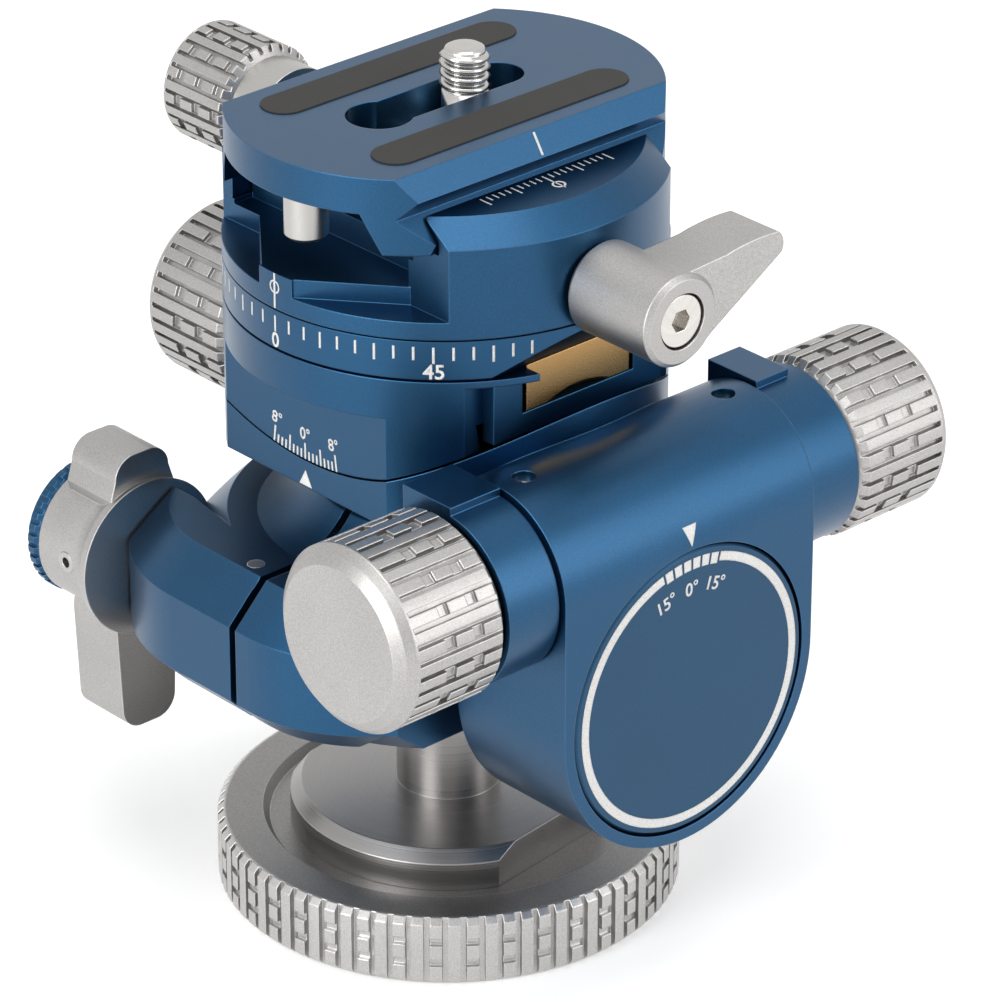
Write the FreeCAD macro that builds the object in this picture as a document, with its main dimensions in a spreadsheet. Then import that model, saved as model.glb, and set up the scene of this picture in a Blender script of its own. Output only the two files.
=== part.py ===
import FreeCAD, Part
import math
import os
import Sketcher

# A geared tripod head, in millimetres. X runs along the camera plate, +Z is up, and the
# origin is the centre of the base's underside, on the axis of the tripod thread.
Vector = FreeCAD.Vector
doc = FreeCAD.newDocument("GearedHead")
sheet = doc.addObject("Spreadsheet::Sheet", "Sizes")
pieces = []


class Size:
    """A number together with the expression text that the document keeps for it."""

    def __init__(self, text, value):
        self.text = text
        self.value = value

    def __add__(self, other):
        other = as_size(other)
        return Size("(%s + %s)" % (self.text, other.text), self.value + other.value)

    def __sub__(self, other):
        other = as_size(other)
        return Size("(%s - %s)" % (self.text, other.text), self.value - other.value)

    def __mul__(self, other):
        other = as_size(other)
        return Size("(%s * %s)" % (self.text, other.text), self.value * other.value)

    def __truediv__(self, other):
        other = as_size(other)
        return Size("(%s / %s)" % (self.text, other.text), self.value / other.value)

    def __neg__(self):
        return Size("(0 - %s)" % self.text, -self.value)

    def __radd__(self, other):
        return as_size(other) + self

    def __rsub__(self, other):
        return as_size(other) - self

    def __rmul__(self, other):
        return as_size(other) * self

    def __rtruediv__(self, other):
        return as_size(other) / self


def as_size(number):
    if isinstance(number, Size):
        return number
    return Size(repr(float(number)), float(number))


def size(name, value):
    """Write one driving dimension to the sheet and return it."""
    row = len(sheet.getUsedCells()) // 2 + 1
    sheet.set("A%d" % row, name)
    sheet.set("B%d" % row, str(value))
    sheet.setAlias("B%d" % row, name)
    return Size("Sizes." + name, float(value))


def leg(hypotenuse, side):
    """The third side of a right triangle, such as the height of a sphere at a radius."""
    hypotenuse = as_size(hypotenuse)
    side = as_size(side)
    text = "sqrt(%s ^ 2 - %s ^ 2)" % (hypotenuse.text, side.text)
    return Size(text, math.sqrt(hypotenuse.value ** 2 - side.value ** 2))


def bind(thing, path, number):
    thing.setExpression(path, as_size(number).text)


# Planes of a body: the sketch's own X and Y, and the direction of its normal.
ROLES = {"XY": "XY_Plane", "XZ": "XZ_Plane", "YZ": "YZ_Plane"}


def origin_part(body, role):
    for item in body.Origin.OriginFeatures:
        if item.Role == role:
            return item
    raise ValueError(role)


def new_body(name, at=(0, 0, 0), turn=None):
    """A named body, with its place bound to the sheet and an optional turn (axis, degrees)."""
    body = doc.addObject("PartDesign::Body", name)
    body.Label = name
    if turn:
        body.Placement = FreeCAD.Placement(Vector(0, 0, 0), FreeCAD.Rotation(Vector(*turn[0]), turn[1]))
    for path, number in zip(("x", "y", "z"), at):
        bind(body, "Placement.Base." + path, number)
    pieces.append(body)
    return body


def fix_point(drawing, geometry, end, number_x, number_y):
    """Bind one point of a sketch to its two distances from the sketch's origin."""
    for kind, number, axis in (("DistanceX", number_x, -2), ("DistanceY", number_y, -1)):
        number = as_size(number)
        if number.text in ("0.0", "-0.0"):
            drawing.addConstraint(Sketcher.Constraint("PointOnObject", geometry, end, axis))
        else:
            index = drawing.addConstraint(Sketcher.Constraint(kind, geometry, end, number.value))
            drawing.setExpression("Constraints[%d]" % index, number.text)


def arc_through(start, stop, radius):
    """The arc of the given radius between two points; positive turns anticlockwise."""
    chord = stop - start
    half = chord.Length / 2
    rise = math.sqrt(radius ** 2 - half ** 2)
    across = Vector(-chord.y, chord.x, 0).normalize()
    side = 1 if radius > 0 else -1
    centre = (start + stop) / 2 + across * rise * side
    first = math.atan2(start.y - centre.y, start.x - centre.x)
    last = math.atan2(stop.y - centre.y, stop.x - centre.x)
    if side < 0:
        first, last = last, first
    circle = Part.Circle(centre, Vector(0, 0, 1), abs(radius))
    return Part.ArcOfCircle(circle, first, last)


def draw_loop(drawing, loop):
    """Draw a closed outline. A point is (x, y), or (x, y, radius) where an arc leads to it."""
    count = len(loop)
    spots = [Vector(as_size(point[0]).value, as_size(point[1]).value, 0) for point in loop]
    ends = []
    for number in range(count):
        after = loop[(number + 1) % count]
        start = spots[number]
        stop = spots[(number + 1) % count]
        if len(after) == 3:
            radius = as_size(after[2])
            index = drawing.addGeometry(arc_through(start, stop, radius.value), False)
            limit = drawing.addConstraint(Sketcher.Constraint("Radius", index, abs(radius.value)))
            text = radius.text if radius.value > 0 else (-radius).text
            drawing.setExpression("Constraints[%d]" % limit, text)
            ends.append((index, 1, 2) if radius.value > 0 else (index, 2, 1))
        else:
            index = drawing.addGeometry(Part.LineSegment(start, stop), False)
            ends.append((index, 1, 2))
    for number in range(count):
        index, first, last = ends[number]
        following = ends[(number + 1) % count]
        drawing.addConstraint(Sketcher.Constraint("Coincident", index, last, following[0], following[1]))
        fix_point(drawing, index, first, loop[number][0], loop[number][1])


def draw_circle(drawing, centre_x, centre_y, radius):
    place = Vector(as_size(centre_x).value, as_size(centre_y).value, 0)
    radius = as_size(radius)
    index = drawing.addGeometry(Part.Circle(place, Vector(0, 0, 1), radius.value), False)
    limit = drawing.addConstraint(Sketcher.Constraint("Radius", index, radius.value))
    drawing.setExpression("Constraints[%d]" % limit, radius.text)
    fix_point(drawing, index, 3, centre_x, centre_y)


def sketch(body, plane, loops, level=0, turn=0):
    """A sketch on one of the body's own planes, raised by level along the plane's normal."""
    drawing = body.newObject("Sketcher::SketchObject", "Sketch")
    drawing.AttachmentSupport = (origin_part(body, ROLES[plane]), [""])
    drawing.MapMode = "FlatFace"
    if turn:
        drawing.AttachmentOffset = FreeCAD.Placement(
            Vector(0, 0, 0), FreeCAD.Rotation(Vector(0, 0, 1), turn))
    bind(drawing, "AttachmentOffset.Base.z", level)
    for loop in loops:
        if isinstance(loop, list):
            draw_loop(drawing, loop)
        else:
            draw_circle(drawing, *loop)
    return drawing


def span(plane, low, high):
    """Turn a stretch of the axis across a plane into heights along the plane's normal."""
    if plane == "XZ":
        return -as_size(high), -as_size(low)
    return as_size(low), as_size(high)


def pad(body, plane, loops, low, high, taper=0, turn=0, downward=False):
    """Solid from low to high across the plane; a taper draws the walls in from its start."""
    bottom, top = span(plane, low, high)
    drawing = sketch(body, plane, loops, top if downward else bottom, turn)
    feature = body.newObject("PartDesign::Pad", "Pad")
    feature.Profile = drawing
    feature.Reversed = downward
    bind(feature, "Length", top - bottom)
    if taper:
        bind(feature, "TaperAngle", taper)
    return feature


def pocket(body, plane, loops, low, high, turn=0):
    """Cut from high down to low across the plane."""
    bottom, top = span(plane, low, high)
    feature = body.newObject("PartDesign::Pocket", "Pocket")
    feature.Profile = sketch(body, plane, loops, top, turn)
    bind(feature, "Length", top - bottom)
    return feature


def revolve(body, plane, loops, axis="V_Axis", kind="PartDesign::Revolution", angle=360, turn=0):
    """Turn an outline about an axis of its sketch; less than a full turn is split evenly."""
    feature = body.newObject(kind, kind.split("::")[1])
    drawing = sketch(body, plane, loops, 0, turn)
    feature.Profile = drawing
    feature.ReferenceAxis = (drawing, [axis])
    bind(feature, "Angle", angle)
    feature.Midplane = as_size(angle).value < 360
    return feature


def groove(body, plane, loops, axis="V_Axis", angle=360):
    return revolve(body, plane, loops, axis, "PartDesign::Groove", angle)


def round_pattern(body, features, count, role="Z_Axis"):
    """Repeat features evenly round one of the body's axes."""
    pattern = body.newObject("PartDesign::PolarPattern", "Pattern")
    pattern.Originals = features
    pattern.Axis = (origin_part(body, role), [""])
    pattern.Angle = 360
    bind(pattern, "Occurrences", count)
    body.Tip = pattern
    return pattern


def turned(name, loops, at=(0, 0, 0), turn=None):
    """A piece turned on a lathe about its own Z axis, from an outline of (radius, height)."""
    body = new_body(name, at, turn)
    revolve(body, "XZ", loops)
    return body


def box(low_x, low_y, high_x, high_y):
    return [(low_x, low_y), (high_x, low_y), (high_x, high_y), (low_x, high_y)]


# Turns that lay a piece's own Z axis along another axis of the head
ALONG_X = ((0, 1, 0), 90)
ALONG_MINUS_X = ((0, 1, 0), -90)
ALONG_Y = ((1, 0, 0), -90)
ALONG_MINUS_Y = ((1, 0, 0), 90)

# Shared sizes
ball_height = size("ball_height", 44.1)
run_gap = size("running_gap", 0.05)
side_gap = size("side_gap", 0.3)
thread_radius = size("tripod_thread_radius", 4.76)
thread_depth = size("tripod_thread_depth", 11.0)

# Base disc, with the tripod thread's boss set into it
base_radius = size("base_radius", 30.0)
base_height = size("base_height", 9.5)
base_bevel = size("base_bevel", 0.8)
boss_radius = size("boss_radius", 9.0)
dish_radius = size("dish_radius", 23.2)
dish_floor = size("dish_floor", 8.2)
knurl_depth = size("knurl_depth", 0.9)
base_knurls = size("base_knurl_count", 40)


def knurl(body, radius, low, high, count, depth, notches):
    """Cut a rim into plain ribs, with a column of pads between each two."""
    pitch = 2 * math.pi / count.value
    half = radius * math.tan(pitch / 4)
    slit = half * 0.33
    floor = radius - depth
    over = radius + depth
    first = pocket(body, "XY", [box(floor, half - slit, over, half + slit)], low, high)
    second = pocket(body, "XY", [box(floor, -half - slit, over, slit - half)], low, high)
    third_floor = radius - depth * 0.6
    width = (high - low) * 0.055
    loops = []
    for share in notches:
        middle = low + (high - low) * share
        loops.append(box(third_floor, middle - width, over, middle + width))
    third = pocket(body, "XZ", loops, slit - half, half - slit)
    round_pattern(body, [first, second, third], count)


base_disc = turned("base_disc", [[
    (boss_radius, 0), (base_radius - base_bevel, 0), (base_radius, base_bevel),
    (base_radius, base_height - base_bevel), (base_radius - base_bevel, base_height),
    (dish_radius + 0.9, base_height), (dish_radius, dish_floor), (boss_radius, dish_floor)]])
knurl(base_disc, base_radius, as_size(0), base_height, base_knurls, knurl_depth, (0.34, 0.66))

# Ball stem: a boss, a flange with two spanner flats, a neck and the ball
ball_radius = size("ball_radius", 18.0)
neck_radius = size("neck_radius", 6.7)
flange_radius = size("flange_radius", 20.5)
flange_top = size("flange_top", 13.5)
flange_bevel = size("flange_bevel", 1.5)
ball_top = size("ball_flat_height", 14.4)
flat_distance = size("spanner_flat_distance", 17.6)
flat_turn = 7.2

ball_stem = turned("ball_stem", [[
    (thread_radius, 0), (boss_radius, 0), (boss_radius, dish_floor), (flange_radius, dish_floor),
    (flange_radius, flange_top - flange_bevel), (flange_radius - flange_bevel, flange_top),
    (neck_radius, flange_top), (neck_radius, ball_height - leg(ball_radius, neck_radius)),
    (ball_radius, ball_height, ball_radius),
    (leg(ball_radius, ball_top), ball_height + ball_top, ball_radius),
    (0, ball_height + ball_top), (0, thread_depth + 2.4), (thread_radius, thread_depth)]])
for side in (1, -1):
    near = flat_distance * side
    far = (flange_radius + 1) * side
    pocket(ball_stem, "XY", [box(-flange_radius, near, flange_radius, far)],
           dish_floor, flange_top + 1, turn=flat_turn)

# Ball seats: two plain rings of slippery plastic between the ball and the clamp
seat_thickness = size("seat_thickness", 0.95)
seat_inner = ball_radius + run_gap
seat_outer = seat_inner + seat_thickness
cavity_radius = seat_outer + run_gap


def ball_seat(name, high_angle, low_angle):
    """A ring of the sphere's wall between two angles from the upright."""
    angles = [math.radians(high_angle), math.radians(low_angle)]
    spots = []
    for radius in (seat_inner, seat_outer):
        spots.append([(radius * math.sin(angle), radius * math.cos(angle)) for angle in angles])
    inner, outer = spots
    return turned(name, [[
        inner[0], inner[1] + (-seat_inner,), outer[1], outer[0] + (seat_outer,)]],
        at=(0, 0, ball_height))


lower_seat = ball_seat("lower_ball_seat", 102, 119)
upper_seat = ball_seat("upper_ball_seat", 60, 78)

# Ball clamp: two halves, drawn round the ball's centre and parted by a slit
clamp_radius = size("clamp_radius", 33.0)
clamp_drop = size("clamp_drop", 10.0)
clamp_rise = size("clamp_rise", 8.9)
clamp_bevel = size("clamp_bevel", 5.2)
clamp_low_bevel = size("clamp_low_bevel", 3.3)
dome_foot = size("dome_foot_radius", 24.0)
dome_shoulder = size("dome_shoulder_radius", 16.7)
dome_shoulder_rise = size("dome_shoulder_rise", 13.3)
dome_top_radius = size("dome_top_radius", 13.4)
dome_rise = size("dome_rise", 15.9)
dome_sweep = size("dome_sweep_radius", 12.0)
slit = size("slit_width", 1.2)
arm_side = size("arm_side", 35.6)
arm_end = size("arm_end", 27.0)
arm_bend = size("arm_bend_radius", 22.9)
arm_inner = size("arm_inner_side", 20.5)
nose_bend = size("nose_bend_radius", 19.2)
front_flat = size("front_flat", 20.0)
lever_x = size("lever_axis_x", -26.5)
clamp_screw_radius = size("clamp_screw_radius", 3.0)
joint_screw_radius = size("joint_screw_radius", 1.6)
joint_head_radius = size("joint_head_radius", 2.9)
joint_screw_x = size("joint_screw_x", 26.5)
joint_spread = size("joint_screw_spread", 3.6)


def clamp_half(name, side):
    """One half of the ring round the ball, on the side of the slit that side gives."""
    body = new_body(name, at=(0, 0, ball_height))
    hollow_low = leg(cavity_radius, clamp_drop)
    hollow_high = leg(cavity_radius, dome_rise)
    outline = [
        (hollow_low, -clamp_drop), (clamp_radius - clamp_low_bevel, -clamp_drop),
        (clamp_radius, clamp_low_bevel - clamp_drop), (clamp_radius, clamp_rise - clamp_bevel),
        (clamp_radius - clamp_bevel, clamp_rise), (dome_foot, clamp_rise),
        (dome_shoulder, dome_shoulder_rise, -dome_sweep), (dome_top_radius, dome_rise),
        (hollow_high, dome_rise)]
    loop = []
    for number, point in enumerate(outline):
        if len(point) == 3:
            loop.append((point[0] * side, point[1], point[2] * side))
        elif number == 0:
            loop.append((point[0] * side, point[1], cavity_radius * -side))
        else:
            loop.append((point[0] * side, point[1]))
    revolve(body, "YZ", [loop], angle=180)
    return body


def clamp_horn(body, outline):
    """The straight side that carries the clamp screw, bevelled above and below."""
    middle_low = clamp_low_bevel - clamp_drop
    middle_high = clamp_rise - clamp_bevel
    pad(body, "XY", [outline], middle_low, middle_high)
    pad(body, "XY", [outline], middle_high, clamp_rise, taper=-45)
    pad(body, "XY", [outline], -clamp_drop, middle_low, taper=-45, downward=True)


wide = size("cutting_width", 60.0)
front_half = clamp_half("clamp_front_half", -1)
clamp_horn(front_half, [
    (-arm_inner, 8), (-arm_side, 8), (-arm_side, -3), (-27.0, -19.0, nose_bend), (-arm_inner, -11)])
pocket(front_half, "XZ", [box(-wide, -wide, wide, wide)], -slit / 2, 20)
pocket(front_half, "XZ", [box(-wide, -wide, wide, wide)], -wide, -front_flat)

# Tilt axle: turned on the front half, it carries the tilt housing and the worm wheel
barrel_radius = size("barrel_radius", 13.0)
axle_radius = size("axle_radius", 9.0)
slab_back = size("slab_back", 25.0)
slab_front = size("slab_front", 44.3)
dial_depth = size("dial_depth", 2.2)
pad(front_half, "XZ", [(0, 0, barrel_radius)], side_gap - slab_back, 0.5 - front_flat)
pad(front_half, "XZ", [(0, 0, axle_radius)], dial_depth - slab_front, side_gap - slab_back)
pocket(front_half, "XZ", [(lever_x, 0, clamp_screw_radius + run_gap)], -15, 0)
for height in (joint_spread, -joint_spread):
    pocket(front_half, "XZ", [(joint_screw_x, height, joint_screw_radius)], -11, 0)

rear_half = clamp_half("clamp_rear_half", 1)
clamp_horn(rear_half, [
    (-arm_inner, -8), (-arm_inner, 6), (-17.5, 22), (-17.5, 33), (-21.8, 33),
    (-arm_side, 12, arm_bend), (-arm_side, -8)])
pocket(rear_half, "XZ", [box(-wide, -wide, wide, wide)], -20, slit / 2)
pocket(rear_half, "XZ", [box(-wide, -wide, 0, wide)], arm_end, wide)
pocket(rear_half, "XZ", [(lever_x, 0, clamp_screw_radius + run_gap)], 0, arm_end + 3)
for height in (joint_spread, -joint_spread):
    pocket(rear_half, "XZ", [(joint_screw_x, height, joint_screw_radius)], 0, 30)
    pocket(rear_half, "XZ", [(joint_screw_x, height, joint_head_radius)], 9, 40)
pin_x = size("dowel_x", -28.6)
pin_y = size("dowel_y", 3.6)
pin_radius = size("dowel_radius", 1.1)
pocket(rear_half, "XY", [(pin_x, pin_y, pin_radius)], clamp_rise - 5, clamp_rise + 1)

turned("clamp_dowel", [[(0, 0), (pin_radius, 0), (pin_radius, 5), (0, 5)]],
       at=(pin_x, pin_y, ball_height + clamp_rise - 5))


# Joint screws and the packing plate on the closed side of the clamp
joint_screws = new_body("clamp_joint_screws", at=(joint_screw_x, 0, ball_height))
for height in (joint_spread, -joint_spread):
    pad(joint_screws, "XZ", [(0, height, joint_screw_radius)], -10.5, 9)
    pad(joint_screws, "XZ", [(0, height, joint_head_radius - 0.1)], 9, 12)
packing = new_body("clamp_packing_plate", at=(joint_screw_x, 0, ball_height))
pad(packing, "XZ", [
    box(-5, -7, 5, 6.5), (0, joint_spread, joint_screw_radius), (0, -joint_spread, joint_screw_radius)],
    -slit / 2, slit / 2)

# Clamp screw with its wing lever, and the friction dial in the lever's end
hub_radius = size("lever_hub_radius", 9.0)
hub_end = size("lever_hub_end", 38.6)
wing_long = size("lever_wing_length", 24.5)
wing_short = size("lever_short_wing", 14.5)
wing_half = size("lever_wing_half_width", 4.3)
dial_bore = size("friction_dial_bore", 2.0)
wing_lever = new_body("clamp_wing_lever", at=(lever_x, 0, ball_height))
hub_start = arm_end + side_gap
revolve(wing_lever, "XY", [[
    (clamp_screw_radius, hub_start), (hub_radius + 1.6, hub_start), (hub_radius + 1.2, hub_start + 1.5),
    (hub_radius, hub_start + 4, -4), (hub_radius, hub_end), (dial_bore + 3, hub_end),
    (dial_bore + 3, hub_end - 2), (clamp_screw_radius, hub_end - 2)]])
pad(wing_lever, "XZ", [[
    (wing_half, -hub_radius * 0.6), (wing_half + 0.6, -hub_radius), (wing_half, 3 - wing_long),
    (wing_half - 3, -wing_long, -3), (3 - wing_half, -wing_long), (-wing_half, 3 - wing_long, -3),
    (-0.6 - wing_half, -hub_radius), (-wing_half, -hub_radius * 0.6)]],
    hub_start + 1, hub_end - 1.5)
pad(wing_lever, "XZ", [[
    (-wing_half, hub_radius * 0.6), (-0.8 - wing_half, hub_radius), (-wing_half, wing_short - 3),
    (3 - wing_half, wing_short, -3), (wing_half - 3, wing_short), (wing_half, wing_short - 3, -3),
    (wing_half + 0.8, hub_radius), (wing_half, hub_radius * 0.6)]],
    hub_start + 1, hub_end - 1.5)
pocket(wing_lever, "XZ", [(0, 0, clamp_screw_radius)], hub_start - 1, hub_end - 2)
clamp_screw = new_body("clamp_screw", at=(lever_x, 0, ball_height))
revolve(clamp_screw, "XY", [[
    (0, -13), (clamp_screw_radius - 0.6, -13), (clamp_screw_radius, -12.4),
    (clamp_screw_radius, hub_end - 3), (0, hub_end - 3)]])
lever_set_screw = new_body("lever_set_screw", at=(lever_x, hub_end - 5.5, ball_height))
pad(lever_set_screw, "YZ", [(0, 0, 1.4)], -hub_radius, -clamp_screw_radius)
pocket(lever_set_screw, "YZ", [(0, 0, 0.7)], -hub_radius, 2 - hub_radius)
pocket(wing_lever, "YZ", [(hub_end - 5.5, 0, 1.4)], -hub_radius - 1, -clamp_screw_radius)

friction_radius = size("friction_dial_radius", 9.2)
friction_knurls = size("friction_dial_knurls", 36)
friction_dial = turned("friction_dial", [[
    (0, -1.7), (dial_bore, -1.7), (dial_bore, side_gap), (friction_radius - 0.6, side_gap),
    (friction_radius, side_gap + 0.6), (friction_radius, 2.0), (friction_radius - 0.6, 2.6),
    (0, 2.6)]], at=(lever_x, hub_end, ball_height), turn=ALONG_Y)
nick = pocket(friction_dial, "XY", [box(friction_radius - 0.4, -0.35, friction_radius + 1, 0.35)],
              side_gap, 2.6)
round_pattern(friction_dial, [nick], friction_knurls)

# Worm gearing, shared by the tilt and roll drives
gear_module = size("gear_module", 0.75)
gear_play = size("gear_play", 0.06)
lead = gear_module * math.pi
pressure = math.tan(math.radians(20))
addendum = gear_module
dedendum = gear_module * 1.25


def worm_shaft(name, axis_plane, pitch_radius, low, high, shaft_radius, turns, at):
    """A shaft with a helical thread cut like a rack, along X or Y; a thread faces the wheel."""
    body = new_body(name, at=at)
    along_x = axis_plane == "X"
    core = pitch_radius - dedendum
    half_thread = lead * (turns / 2 + 0.5)
    start = lead * (turns / 2 + 0.25)
    loop = [
        (0, low), (shaft_radius, low), (shaft_radius, -half_thread - 0.5), (core, -half_thread),
        (core, half_thread), (shaft_radius, half_thread + 0.5), (shaft_radius, high), (0, high)]
    sunk = core - 0.2
    tip = pitch_radius + addendum
    thread = [
        (sunk, -start - thread_half(-dedendum - 0.2)), (tip, -start - thread_half(addendum)),
        (tip, thread_half(addendum) - start), (sunk, thread_half(-dedendum - 0.2) - start)]
    if along_x:
        loop = [(along, radius) for radius, along in loop]
        thread = [(along, radius) for radius, along in thread]
    axis = "H_Axis" if along_x else "V_Axis"
    revolve(body, "XY", [loop], axis)
    drawing = sketch(body, "XY", [thread])
    helix = body.newObject("PartDesign::AdditiveHelix", "Thread")
    helix.Profile = drawing
    helix.ReferenceAxis = (drawing, [axis])
    helix.Mode = "pitch-height-angle"
    bind(helix, "Pitch", lead)
    bind(helix, "Height", lead * turns)
    return body


def thread_half(above):
    """Half the thread's width at a height above its pitch line."""
    return lead / 4 - gear_play - as_size(above) * pressure


# Tilt drive: a worm wheel on the axle, and a worm above it with a knob at each end
wheel_teeth = size("wheel_teeth", 40)
wheel_width = size("wheel_width", 8.0)
worm_radius = size("worm_pitch_radius", 3.5)
worm_turns = 3
shaft_radius = size("worm_shaft_radius", 2.5)
drive_y = size("tilt_drive_y", -32.3)
wheel_pitch = gear_module * wheel_teeth / 2
worm_height = ball_height + wheel_pitch + worm_radius
wheel_low = drive_y - wheel_width / 2
wheel_high = drive_y + wheel_width / 2
wheel = new_body("tilt_worm_wheel", at=(0, 0, ball_height))
pad(wheel, "XZ", [(0, 0, wheel_pitch + addendum), (0, 0, axle_radius)], wheel_low, wheel_high)
lead_angle = math.degrees(math.atan(lead.value / (2 * math.pi * worm_radius.value)))


def slot_half(above):
    """Half a wheel's tooth gap at a height above its pitch circle."""
    return lead / 4 + gear_play + as_size(above) * pressure


def tooth_gap(pitch_radius, over):
    root = pitch_radius - dedendum
    return [
        (-slot_half(-dedendum), root), (slot_half(-dedendum), root),
        (slot_half(addendum + over), pitch_radius + addendum + over),
        (-slot_half(addendum + over), pitch_radius + addendum + over)]


def slanted_gap(body, loop, middle, width, slant):
    """A tooth gap cut through a wheel's width, slanted to the worm's lead."""
    drawing = sketch(body, "XZ", [loop])
    drawing.AttachmentOffset = FreeCAD.Placement(
        Vector(0, 0, 0), FreeCAD.Rotation(Vector(0, 1, 0), slant))
    bind(drawing, "AttachmentOffset.Base.z", -as_size(middle))
    feature = body.newObject("PartDesign::Pocket", "ToothGap")
    feature.Profile = drawing
    feature.Midplane = True
    bind(feature, "Length", width * 1.3)
    return feature


gap = slanted_gap(wheel, tooth_gap(wheel_pitch, 0.3), drive_y, wheel_width, -lead_angle)
round_pattern(wheel, [gap], wheel_teeth, "Y_Axis")

thrust_washer = new_body("axle_thrust_washer", at=(0, 0, ball_height))
cavity_back = wheel_high + 0.8
pad(thrust_washer, "XZ", [(0, 0, 12), (0, 0, axle_radius)], wheel_high, cavity_back)
nut_radius = size("axle_nut_radius", 12.5)
axle_nut = new_body("axle_nut", at=(0, 0, ball_height))
pad(axle_nut, "XZ", [(0, 0, nut_radius), (0, 0, axle_radius)], wheel_low - 3, wheel_low)
notch = pocket(axle_nut, "XZ", [box(nut_radius - 1.5, -1.2, nut_radius + 1, 1.2)],
               wheel_low - 3, wheel_low)
round_pattern(axle_nut, [notch], size("axle_nut_slots", 4), "Y_Axis")

dial_radius = size("dial_radius", 19.1)
dial_plate = new_body("tilt_dial_plate", at=(0, 0, ball_height))
revolve(dial_plate, "XY", [[
    (0, -slab_front), (dial_radius - 0.4, -slab_front), (dial_radius, 0.4 - slab_front),
    (dial_radius, dial_depth - slab_front), (0, dial_depth - slab_front)]])

# Tilt housing: a slab round the wheel, a tube round the worm and the cradle over the ball
slab_half = size("slab_half_width", 20.8)
tube_radius = size("tube_radius", 12.0)
rim_gap = size("dial_rim_gap", 0.2)
wheel_room = size("wheel_room", 1.05)
cradle_radius = size("cradle_radius", 27.7)
cradle_flat = size("cradle_flat", 23.3)
cradle_bottom = size("cradle_bottom", 63.2)
cradle_top = size("cradle_top", 78.0)
roll_height = size("roll_axis_height", 109.3)
seam_radius = size("roll_seam_radius", 42.5)
sector_teeth = size("sector_teeth", 102)
roll_worm_radius = size("roll_worm_pitch_radius", 2.85)
roll_shaft_radius = size("roll_shaft_radius", 1.8)
sector_pitch = gear_module * sector_teeth / 2
roll_worm_height = roll_height - sector_pitch - roll_worm_radius
sleeve_spigot = size("sleeve_spigot_radius", 5.95)
spigot_length = size("sleeve_spigot_length", 6.8)
bush_radius = size("axle_bush_radius", 11.0)

housing = new_body("tilt_housing", at=(0, 0, ball_height))
worm_rise = worm_height - ball_height
pad(housing, "XZ", [[
    (-slab_half, worm_rise), (-slab_half, 0), (0, -slab_half, slab_half), (slab_half, 0, slab_half),
    (slab_half, worm_rise)]], -slab_front, -slab_back)
pad(housing, "YZ", [(drive_y, worm_rise, tube_radius)], -slab_half, slab_half)
flat_y = leg(cradle_radius, cradle_flat)
pad(housing, "XY", [[
    (cradle_flat, -flat_y, cradle_radius), (cradle_flat, flat_y), (-cradle_flat, flat_y, cradle_radius),
    (-cradle_flat, -flat_y)]], cradle_bottom - ball_height, cradle_top - ball_height)
pocket(housing, "YZ", [(0, roll_height - ball_height, seam_radius)], -wide, wide)
pocket(housing, "XZ", [(0, 0, dial_radius + rim_gap)], -slab_front, side_gap + dial_depth - slab_front)
pocket(housing, "XZ", [(0, 0, wheel_pitch + addendum + wheel_room)], -slab_front, cavity_back)
pocket(housing, "XZ", [(0, 0, bush_radius)], -slab_front, -20)
pocket(housing, "XZ", [(0, 0, barrel_radius + side_gap)], -slab_back, -front_flat)
pocket(housing, "YZ", [(drive_y, worm_rise, worm_radius + addendum + 0.6)], -slab_half, slab_half)
for low, high in ((-slab_half - 1, spigot_length - slab_half), (slab_half - spigot_length, slab_half + 1)):
    pocket(housing, "YZ", [(drive_y, worm_rise, sleeve_spigot)], low, high)
roll_rise = roll_worm_height - ball_height
roll_bush_radius = size("roll_bush_radius", 3.4)
trough = size("roll_worm_room", 0.2)
pocket(housing, "XZ", [(0, roll_rise, roll_worm_radius + addendum + trough)], -19, 19)
pocket(housing, "XZ", [(0, roll_rise, roll_bush_radius)], 18, 40)
pocket(housing, "XZ", [(0, roll_rise, roll_shaft_radius + run_gap)], -25, -18)
grub_x = size("grub_screw_x", 16.6)
grub_radius = size("grub_screw_radius", 1.5)
for side in (1, -1):
    pocket(housing, "XY", [(grub_x * side, drive_y, grub_radius)],
           worm_rise + sleeve_spigot - 0.5, worm_rise + tube_radius)

axle_bush = new_body("axle_bush", at=(0, 0, ball_height))
pad(axle_bush, "XZ", [(0, 0, bush_radius), (0, 0, axle_radius + run_gap)], cavity_back, -slab_back)

grub_screws = new_body("sleeve_grub_screws", at=(0, drive_y, worm_height))
for side in (1, -1):
    pad(grub_screws, "XY", [(grub_x * side, 0, grub_radius)], sleeve_spigot, tube_radius - 1.2)
    pocket(grub_screws, "XY", [(grub_x * side, 0, 0.8)], tube_radius - 2.8, tube_radius - 1)

# Worm sleeves: turned bushes with a flat-topped lug, held by the grub screws
sleeve_radius = size("sleeve_radius", 11.4)
sleeve_length = size("sleeve_length", 8.4)
sleeve_end = slab_half + sleeve_length


def worm_sleeve(name, side):
    body = new_body(name, at=(0, drive_y, worm_height))
    loop = [
        ((slab_half - spigot_length) * side, shaft_radius + run_gap),
        (sleeve_end * side, shaft_radius + run_gap), (sleeve_end * side, sleeve_radius),
        ((slab_half + 0.5) * side, sleeve_radius), ((slab_half + 0.5) * side, sleeve_radius - 0.6),
        (slab_half * side, sleeve_radius - 0.6),
        (slab_half * side, sleeve_spigot), ((slab_half - spigot_length) * side, sleeve_spigot)]
    revolve(body, "XY", [loop], "H_Axis")
    lug = box(-1, sleeve_radius - 4, 7.5, sleeve_radius + 1)
    if side > 0:
        pad(body, "YZ", [lug], slab_half + 0.5, sleeve_end - 2.4)
    else:
        pad(body, "YZ", [lug], -sleeve_end, -slab_half - 0.5)
    return body


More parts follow.
